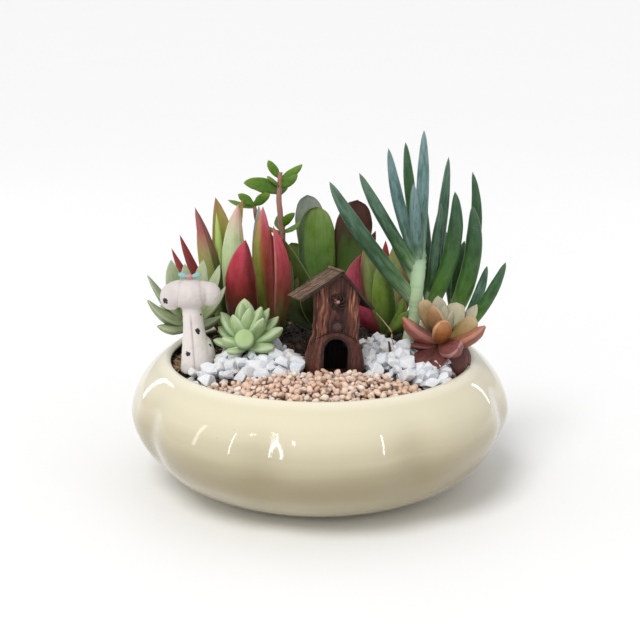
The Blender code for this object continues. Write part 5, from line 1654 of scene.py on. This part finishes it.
def ring(bm, major, minor, matrix, steps=48, sides=12):
    """A round moulding that looks to the front."""
    made = bmesh.ops.create_circle(bm, segments=sides, radius=minor)["verts"]
    bmesh.ops.translate(bm, vec=(major, 0.0, 0.0), verts=made)
    edges = list({edge for vert in made for edge in vert.link_edges})
    before = set(bm.verts) - set(made)
    bmesh.ops.spin(
        bm, geom=made + edges, cent=(0.0, 0.0, 0.0), axis=(0.0, 1.0, 0.0), angle=math.tau, steps=steps,
        use_merge=True)
    made = [vert for vert in bm.verts if vert not in before]
    faces = list({face for vert in made for face in vert.link_faces})
    bmesh.ops.recalc_face_normals(bm, faces=faces)
    bmesh.ops.transform(bm, matrix=matrix, verts=made)
    return made


def dome(bm, radius, depth, place):
    """A low round boss that looks to the front."""
    made = bmesh.ops.create_uvsphere(bm, u_segments=40, v_segments=20, radius=1.0)["verts"]
    for vert in made:
        x, y, z = vert.co
        vert.co = Vector((x * radius, -z * depth, y * radius)) + Vector(place)
    return made


def make_roof(settings):
    """Two slopes of worn boards laid end to end in rows, with a ridge cap and barge boards."""
    draw = random.Random(12)
    bm = bmesh.new()
    worn, tint = layer(bm, "worn"), layer(bm, "tint")

    # On the roof the worn share only marks painted shade: a low share paints a board near black.
    def paint_over(made, wear, shade):
        for vert in made:
            vert[worn], vert[tint] = wear, shade

    for side in (-1.0, 1.0):
        slope = roof_frame(side)
        along = side * (ROOF_LENGTH / 2.0 - 0.9)
        under = slope @ Matrix.Translation((along, 0.0, -0.55))
        # The underlay gets a low share: painted shade under the roof and in the joints between boards.
        paint_over(block(bm, (ROOF_LENGTH - 0.8, ROOF_DEPTH - 0.8, 1.1), under, 0.2), 0.1, 0.1)
        # The barge boards get a low share too: painted shade along the slopes' ends.
        for end in (-1.0, 1.0):
            matrix = slope @ Matrix.Translation((along, end * (ROOF_DEPTH / 2.0 - 0.35), -0.1))
            paint_over(block(bm, (ROOF_LENGTH, 0.7, 1.9), matrix, 0.2, 2), 0.2, 0.0)
        y = -ROOF_DEPTH / 2.0 + 0.3
        while y < ROOF_DEPTH / 2.0 - 0.9:
            wide = min(draw.uniform(2.0, 3.2), ROOF_DEPTH / 2.0 - 0.3 - y)
            x = -0.6
            while x < ROOF_LENGTH - 1.5:
                reach = min(draw.uniform(0.7, 1.9) * ROOF_LENGTH / settings.rows, ROOF_LENGTH - 0.9 - x)
                tilt = Matrix.Rotation(side * math.radians(draw.uniform(-1.6, 0.4)), 4, "Y")
                skew = Matrix.Rotation(math.radians(draw.uniform(-0.8, 0.8)), 4, "Z")
                place = (side * (x + reach / 2.0), y + wide / 2.0, 0.30 + draw.uniform(-0.14, 0.14))
                matrix = slope @ Matrix.Translation(place) @ tilt @ skew
                made = block(bm, (reach - 0.2, wide - 0.5, 0.8), matrix, 0.15)
                for vert in made:
                    vert.co += noise.noise_vector(vert.co * 0.7) * 0.10
                # Painted shade: boards on the right slope get a low share and turn dark; the left slope's
                # keep their colour.
                paint_over(made, 0.5 if side < 0.0 else 0.2, draw.random())
                x += reach
            y += wide
    top = Matrix.Translation(RIDGE) @ Matrix.Rotation(ROOF_TURN, 4, "Z")
    line = [top @ Vector((0.0, y, 0.95)) for y in (-RIDGE_HALF, -4.0, 4.0, RIDGE_HALF)]
    cap = rod(bm, smooth_path(line), lambda way: 1.15, 12, 30, 0.75)
    for vert in cap:
        vert.co += noise.noise_vector(vert.co * 0.5) * 0.2
    paint_over(cap, 0.5, 0.3)
    stand_house("house_roof", bm, board_material(settings), 40.0)


def board_material(settings):
    """Weathered boards: grey-brown, some boards darker, and painted shade on the right slope, the barge
    boards and the underlay that shows in the joints and under the roof.
    """
    paint = Paint("roof_board", specular_ior_level=0.3)
    grain = paint.grain(1.0, 4.0, paint.place((130.0, 900.0, 130.0)), rough=0.65)
    cloud = paint.grain(120.0, 3.0)
    base = paint.mix(grain.step(0.35, 0.65), (0.085, 0.050, 0.035), settings.board)
    base = paint.mix(paint.own("tint").step(0.2, 1.0) * 0.75, base, (0.075, 0.043, 0.030))
    # Painted shade: a low worn share (right slope, barge boards, underlay) turns the boards near black.
    base = paint.mix((1.0 - paint.own("worn")).step(0.6, 0.8) * 0.9, base, (0.016, 0.006, 0.004))
    base = paint.mix((1.0 - cloud).step(0.5, 0.7) * 0.5, base, (0.04, 0.018, 0.012))
    paint.relief(grain + cloud * 0.5, 0.0006, 0.8)
    return paint.finish(base, 0.55 + cloud * 0.2)


def make_house(settings):
    """The whole house."""
    make_trunk(settings)
    make_door()
    make_mouldings()
    make_bosses()
    make_roof(settings)


# Dog

HEAD_Z = 51.0
NECK_Z = 40.0
DOG_LEAN = 0.07
GIRTH = smooth_curve(((0.0, 11.2), (7.0, 10.2), (19.0, 8.2), (32.0, 6.6), (48.0, 6.0)))
# Spots as places on the skin, found by x and z in front or behind, and their radius.
FRONT_SPOTS = (
    (-98.8, 129.9, 1.9), (-77.9, 110.5, 2.0), (-85.1, 96.1, 1.8), (-75.5, 120.6, 1.2), (-69.8, 99.5, 1.4))
BACK_SPOTS = ((-86.0, 138.0, 3.0), (-79.0, 113.0, 2.6), (-72.0, 92.0, 2.8), (-66.5, 131.0, 2.3))


def spine(height):
    """Where the leaning dog's middle is at a height."""
    return 0.8 - height * DOG_LEAN


def dog_material(settings, spots):
    """Painted clay, softly brushed, with plain black spots and painted shade in the groove between the front
    legs and in the ears' seams.
    """
    paint = Paint("painted_clay", subsurface_weight=0.05, subsurface_scale=0.001)
    fine = paint.grain(900.0, 4.0)
    broad = paint.grain(90.0, 3.0)
    base = paint.mix(broad.step(0.35, 0.7) * 0.5, settings.clay, (0.66, 0.60, 0.58))
    base = paint.mix(paint.own("head") * (0.30 + broad * 0.5), base, (0.56, 0.50, 0.49))
    base = paint.mix(fine.step(0.58, 0.70) * 0.30, base, (0.55, 0.50, 0.47))
    # Painted shade in the groove between the front legs and, fainter, along the ears' seams.
    base = paint.mix(paint.own("crease") * 0.75, base, (0.42, 0.37, 0.35))
    marks = 0.0
    place = paint.place()
    wobble = (paint.grain(620.0, 2.0) - 0.5) * 0.0032
    for x, y, z, radius in spots:
        near = paint.node("VectorMath", {"operation": "DISTANCE"}, {0: place, 1: (x * MM, y * MM, z * MM)})
        inside = 1.0 - (Signal(paint, near.outputs["Value"]) + wobble).step(radius * 0.88 * MM, radius * MM)
        marks = inside.most(marks)
    base = paint.mix(marks, base, settings.spot)
    paint.relief(fine * 0.5 + broad * 0.4, 0.0004, 0.7)
    return paint.finish(base, 0.55 + fine * 0.15 - marks * 0.2)


def make_dog(settings):
    """The dog: a leaning body and a head with two drooping ears, melted into one skin."""
    bm = bmesh.new()
    body = bmesh.ops.create_uvsphere(bm, u_segments=40, v_segments=48, radius=1.0)["verts"]
    for vert in body:
        x, y, z = vert.co
        height = 24.0 * (1.0 - z)
        flat = math.hypot(x, y)
        r = GIRTH(height) * (min(1.0, flat * 6.0) / flat if flat > 1e-5 else 0.0)
        vert.co = (spine(height) + x * r, -1.0 + y * r, height)
    bmesh.ops.reverse_faces(bm, faces=bm.faces)
    head = spine(HEAD_Z)
    ball(bm, (17.0, 18.0, 27.0), (3.4, 2.6, 10.0))
    ball(bm, (25.0, 19.6, 20.0), (head, -1.0, HEAD_Z + 0.3))
    ball(bm, (34.0, 14.0, 12.5), (head - 0.6, -0.3, HEAD_Z + 3.6))
    ball(bm, (15.8, 12.6, 18.6), (head - 11.8, 0.0, HEAD_Z - 1.2), (0.0, 0.32, 0.0))
    ball(bm, (15.4, 12.6, 16.6), (head + 11.8, 0.0, HEAD_Z + 0.2), (0.0, -0.55, 0.0))
    bmesh.ops.translate(bm, vec=DOG_PLACE, verts=bm.verts)
    steps = [("REMESH", {"mode": "VOXEL", "voxel_size": settings.grain / MM}),
             ("SMOOTH", {"factor": 0.5, "iterations": 7})]
    bm = settled("dog", bm, steps)
    crease, head_share = layer(bm, "crease"), layer(bm, "head")
    for vert in bm.verts:
        x, y, z = vert.co - DOG_PLACE
        vert[head_share] = clamp((z - NECK_Z) / 4.0)
        if y < 0.0 and 1.0 < z < NECK_Z:
            # The groove between the front legs, pressed in and marked for painted shade.
            deep = math.exp(-((x - spine(z) + 0.6) / 0.55) ** 2) * min(1.0, (NECK_Z - z) / 6.0)
            vert.co.y += 0.8 * deep
            vert[crease] = deep
        for ear in (-1.0, 1.0):
            # The ears' seams, pressed in and marked for fainter painted shade.
            seam = math.exp(-((x - head - ear * 7.6 + 0.14 * ear * (z - HEAD_Z)) / 0.6) ** 2)
            if z > NECK_Z:
                vert[crease] = max(vert[crease], seam * 0.4)
                vert.co -= vert.normal * 0.22 * seam
        vert.co += vert.normal * noise.noise(vert.co * 0.35) * 0.22
        vert.co += vert.normal * noise.noise(vert.co * 1.1) * 0.16 * vert[head_share]
    cut_away(bm, DOG_PLACE, (0.0, 0.0, -1.0))
    spots = []
    for rows, front in ((FRONT_SPOTS, True), (BACK_SPOTS, False)):
        for x, z, radius in rows:
            near = [vert.co.y for vert in bm.verts if abs(vert.co.x - x) < 1.0 and abs(vert.co.z - z) < 1.0]
            if near:
                spots.append((x, min(near) if front else max(near), z, radius))
    add_piece("dog_body", bm, [dog_material(settings, spots)], "dog")


def ribbon_material(name, shade):
    """Coloured clay with fine brush marks and a soft gloss."""
    paint = Paint(name, coat_weight=0.25, coat_roughness=0.25)
    fine = paint.grain(1100.0, 3.0)
    base = paint.mix(fine.step(0.4, 0.7) * 0.5, shade, tuple(min(1.0, c * 1.35) for c in shade))
    paint.relief(fine, 0.0002, 0.7)
    return paint.finish(base, 0.42 + fine * 0.15)


def make_bow(settings):
    """The bow's two loops and its knot."""
    bm = bmesh.new()
    middle = DOG_PLACE + Vector((spine(HEAD_Z) - 0.3, -2.0, HEAD_Z + 12.2))
    for side in (-1.0, 1.0):
        made = bmesh.ops.create_uvsphere(bm, u_segments=32, v_segments=20, radius=1.0)["verts"]
        turn = Matrix.Rotation(side * -0.28, 4, "Y")
        for vert in made:
            x, y, z = vert.co
            out = (side * x + 1.0) / 2.0
            tall = 0.35 + 0.75 * out
            fold = 0.22 * math.exp(-(z / 0.25) ** 2) * (1.0 if y < 0.0 else 0.0) * out
            place = Vector((x * 3.6, (y + fold) * 1.7 * (0.6 + 0.4 * out), z * 1.9 * tall))
            vert.co = turn @ place + middle + Vector((side * 3.7, 0.0, 0.7))
    knot = ball(bm, (3.8, 3.4, 2.8), middle + Vector((0.0, -0.1, 0.1)), (0.0, 0.0, 0.0), 20, 14)
    for vert in knot:
        vert.co += noise.noise_vector(vert.co * 0.9) * 0.12
    give_finish(knot, 1)
    paints = [ribbon_material("blue_ribbon", settings.bow), ribbon_material("pink_knot", settings.knot)]
    add_piece("dog_bow_clay", bm, paints, "dog_bow")


# Stage

# Soft panels of light: width and height, place and power.
PANELS = {
    "left_strip": ((0.035, 0.60), (-0.85, -0.95, 0.45), 0.75),
    "left_window": ((0.07, 0.10), (-0.50, -1.05, 0.62), 0.35),
    "right_strip": ((0.03, 0.50), (0.80, -0.85, 0.50), 0.6),
    "far_left_strip": ((0.05, 0.60), (-1.30, -0.35, 0.42), 0.3),
    "left_back_strip": ((0.12, 0.50), (-0.95, 0.80, 0.34), 0.7),
    "right_back_strip": ((0.06, 0.50), (0.95, 0.80, 0.34), 0.4),
}
SUN_POWER = 1.55
SUN_ANGLE = math.radians(28.0)
SUN_WAY = Vector((0.34, 0.58, -1.0))
SKY_POWER = 0.66
FLOOR_HALF = 30.0
FLOOR_ROUGH = 0.50
SENSOR_WIDTH = 36.0


def floor_material(shade):
    """A plain matt floor, hardly clouded."""
    paint = Paint("white_floor", specular_ior_level=0.2)
    soft = paint.grain(3.0, 2.0)
    base = paint.mix(soft, shade, tuple(c * 0.985 for c in shade))
    return paint.finish(base, FLOOR_ROUGH + (soft - 0.5) * 0.02)


def looking(way):
    """The turn of a lamp or a camera that looks along a way."""
    return way.to_track_quat("-Z", "Y").to_euler()


def make_floor(settings):
    """A wide level floor, which belongs to the stage."""
    bm = bmesh.new()
    bmesh.ops.create_grid(bm, x_segments=2, y_segments=2, size=FLOOR_HALF)
    mesh = new_mesh("floor", bm)
    mesh.materials.append(floor_material(settings.floor))
    floor = new_object("floor", mesh)


def make_camera(settings, aim):
    """The camera, which looks down a little at the aim."""
    back = Vector((0.0, -math.cos(settings.elevation), math.sin(settings.elevation)))
    lens = bpy.data.cameras.new("camera")
    lens.lens, lens.sensor_width = settings.lens, SENSOR_WIDTH
    camera = new_object("camera", lens)
    camera.location = aim + back * settings.distance
    camera.rotation_euler = looking(-back)
    bpy.context.scene.camera = camera


def make_lights(aim):
    """Six soft panels and a soft sun, which gives no highlight of its own."""
    for name, (size, place, power) in PANELS.items():
        lamp = bpy.data.lights.new(name, "AREA")
        lamp.shape = "RECTANGLE"
        lamp.size, lamp.size_y = size
        lamp.energy = power
        panel = new_object(name, lamp)
        panel.location = place
        panel.rotation_euler = looking(aim - Vector(place))
    lamp = bpy.data.lights.new("soft_sun", "SUN")
    lamp.energy, lamp.angle = SUN_POWER, SUN_ANGLE
    sun = new_object("soft_sun", lamp)
    sun.rotation_euler = looking(SUN_WAY)
    sun.visible_glossy = False


def make_stage(settings):
    """Floor, camera, lights and a white sky."""
    scene = bpy.context.scene
    aim = Vector((0.0, 0.0, settings.height))
    make_floor(settings)
    make_camera(settings, aim)
    make_lights(aim)
    scene.world = bpy.data.worlds.new("studio")
    scene.world.use_nodes = True
    sky = scene.world.node_tree.nodes["Background"]
    sky.inputs["Color"].default_value = (1.0, 1.0, 1.0, 1.0)
    sky.inputs["Strength"].default_value = SKY_POWER
    scene.view_settings.view_transform = "Standard"


# Add-on


class GARDEN_OT_bowl(Operator):
    """Make the glazed bowl"""
    bl_idname = "garden.bowl"
    bl_label = "Bowl"

    def execute(self, context):
        make_bowl(context.scene.garden_bowl)
        return {"FINISHED"}


class GARDEN_OT_ground(Operator):
    """Make the soil, the white chips and the tan gravel"""
    bl_idname = "garden.ground"
    bl_label = "Soil and stones"

    def execute(self, context):
        make_ground(context.scene.garden_ground)
        return {"FINISHED"}


class GARDEN_OT_plants(Operator):
    """Make every plant with its stem and leaves"""
    bl_idname = "garden.plants"
    bl_label = "Plants"

    def execute(self, context):
        make_plants(context.scene.garden_leaf)
        return {"FINISHED"}


class GARDEN_OT_house(Operator):
    """Make the bark house with its door, window, ornament and roof"""
    bl_idname = "garden.house"
    bl_label = "House"

    def execute(self, context):
        make_house(context.scene.garden_house)
        return {"FINISHED"}


class GARDEN_OT_dog(Operator):
    """Make the little clay dog and its bow"""
    bl_idname = "garden.dog"
    bl_label = "Dog and bow"

    def execute(self, context):
        make_dog(context.scene.garden_dog)
        make_bow(context.scene.garden_dog)
        return {"FINISHED"}


class GARDEN_OT_stage(Operator):
    """Make the floor, the lights and the camera"""
    bl_idname = "garden.stage"
    bl_label = "Stage"

    def execute(self, context):
        make_stage(context.scene.garden_stage)
        return {"FINISHED"}


STEPS = (
    GARDEN_OT_stage, GARDEN_OT_bowl, GARDEN_OT_ground, GARDEN_OT_plants, GARDEN_OT_house, GARDEN_OT_dog,
)


class GARDEN_PT_sidebar(Panel):
    """Lists the steps and their settings"""
    bl_idname = "GARDEN_PT_sidebar"
    bl_label = "Dish Garden"
    bl_space_type = "VIEW_3D"
    bl_region_type = "UI"
    bl_category = "Dish Garden"

    def draw(self, context):
        for step in STEPS:
            self.layout.operator(step.bl_idname)
        for name, kind in SETTINGS.items():
            box = self.layout.box()
            box.label(text=name.split("_")[1].capitalize())
            for setting in kind.__annotations__:
                box.prop(getattr(context.scene, name), setting)


CLASSES = tuple(SETTINGS.values()) + STEPS + (GARDEN_PT_sidebar,)


def register():
    """Add the settings and steps, and fix the offsets of noise_vector, which otherwise follow the clock."""
    noise.seed_set(NOISE_SEED)
    for kind in CLASSES:
        bpy.utils.register_class(kind)
    for name, kind in SETTINGS.items():
        setattr(bpy.types.Scene, name, PointerProperty(type=kind))


def unregister():
    for name in SETTINGS:
        delattr(bpy.types.Scene, name)
    for kind in reversed(CLASSES):
        bpy.utils.unregister_class(kind)


def main():
    register()
    for step in STEPS:
        group, name = step.bl_idname.split(".")
        getattr(getattr(bpy.ops, group), name)()


if __name__ == "__main__":
    main()
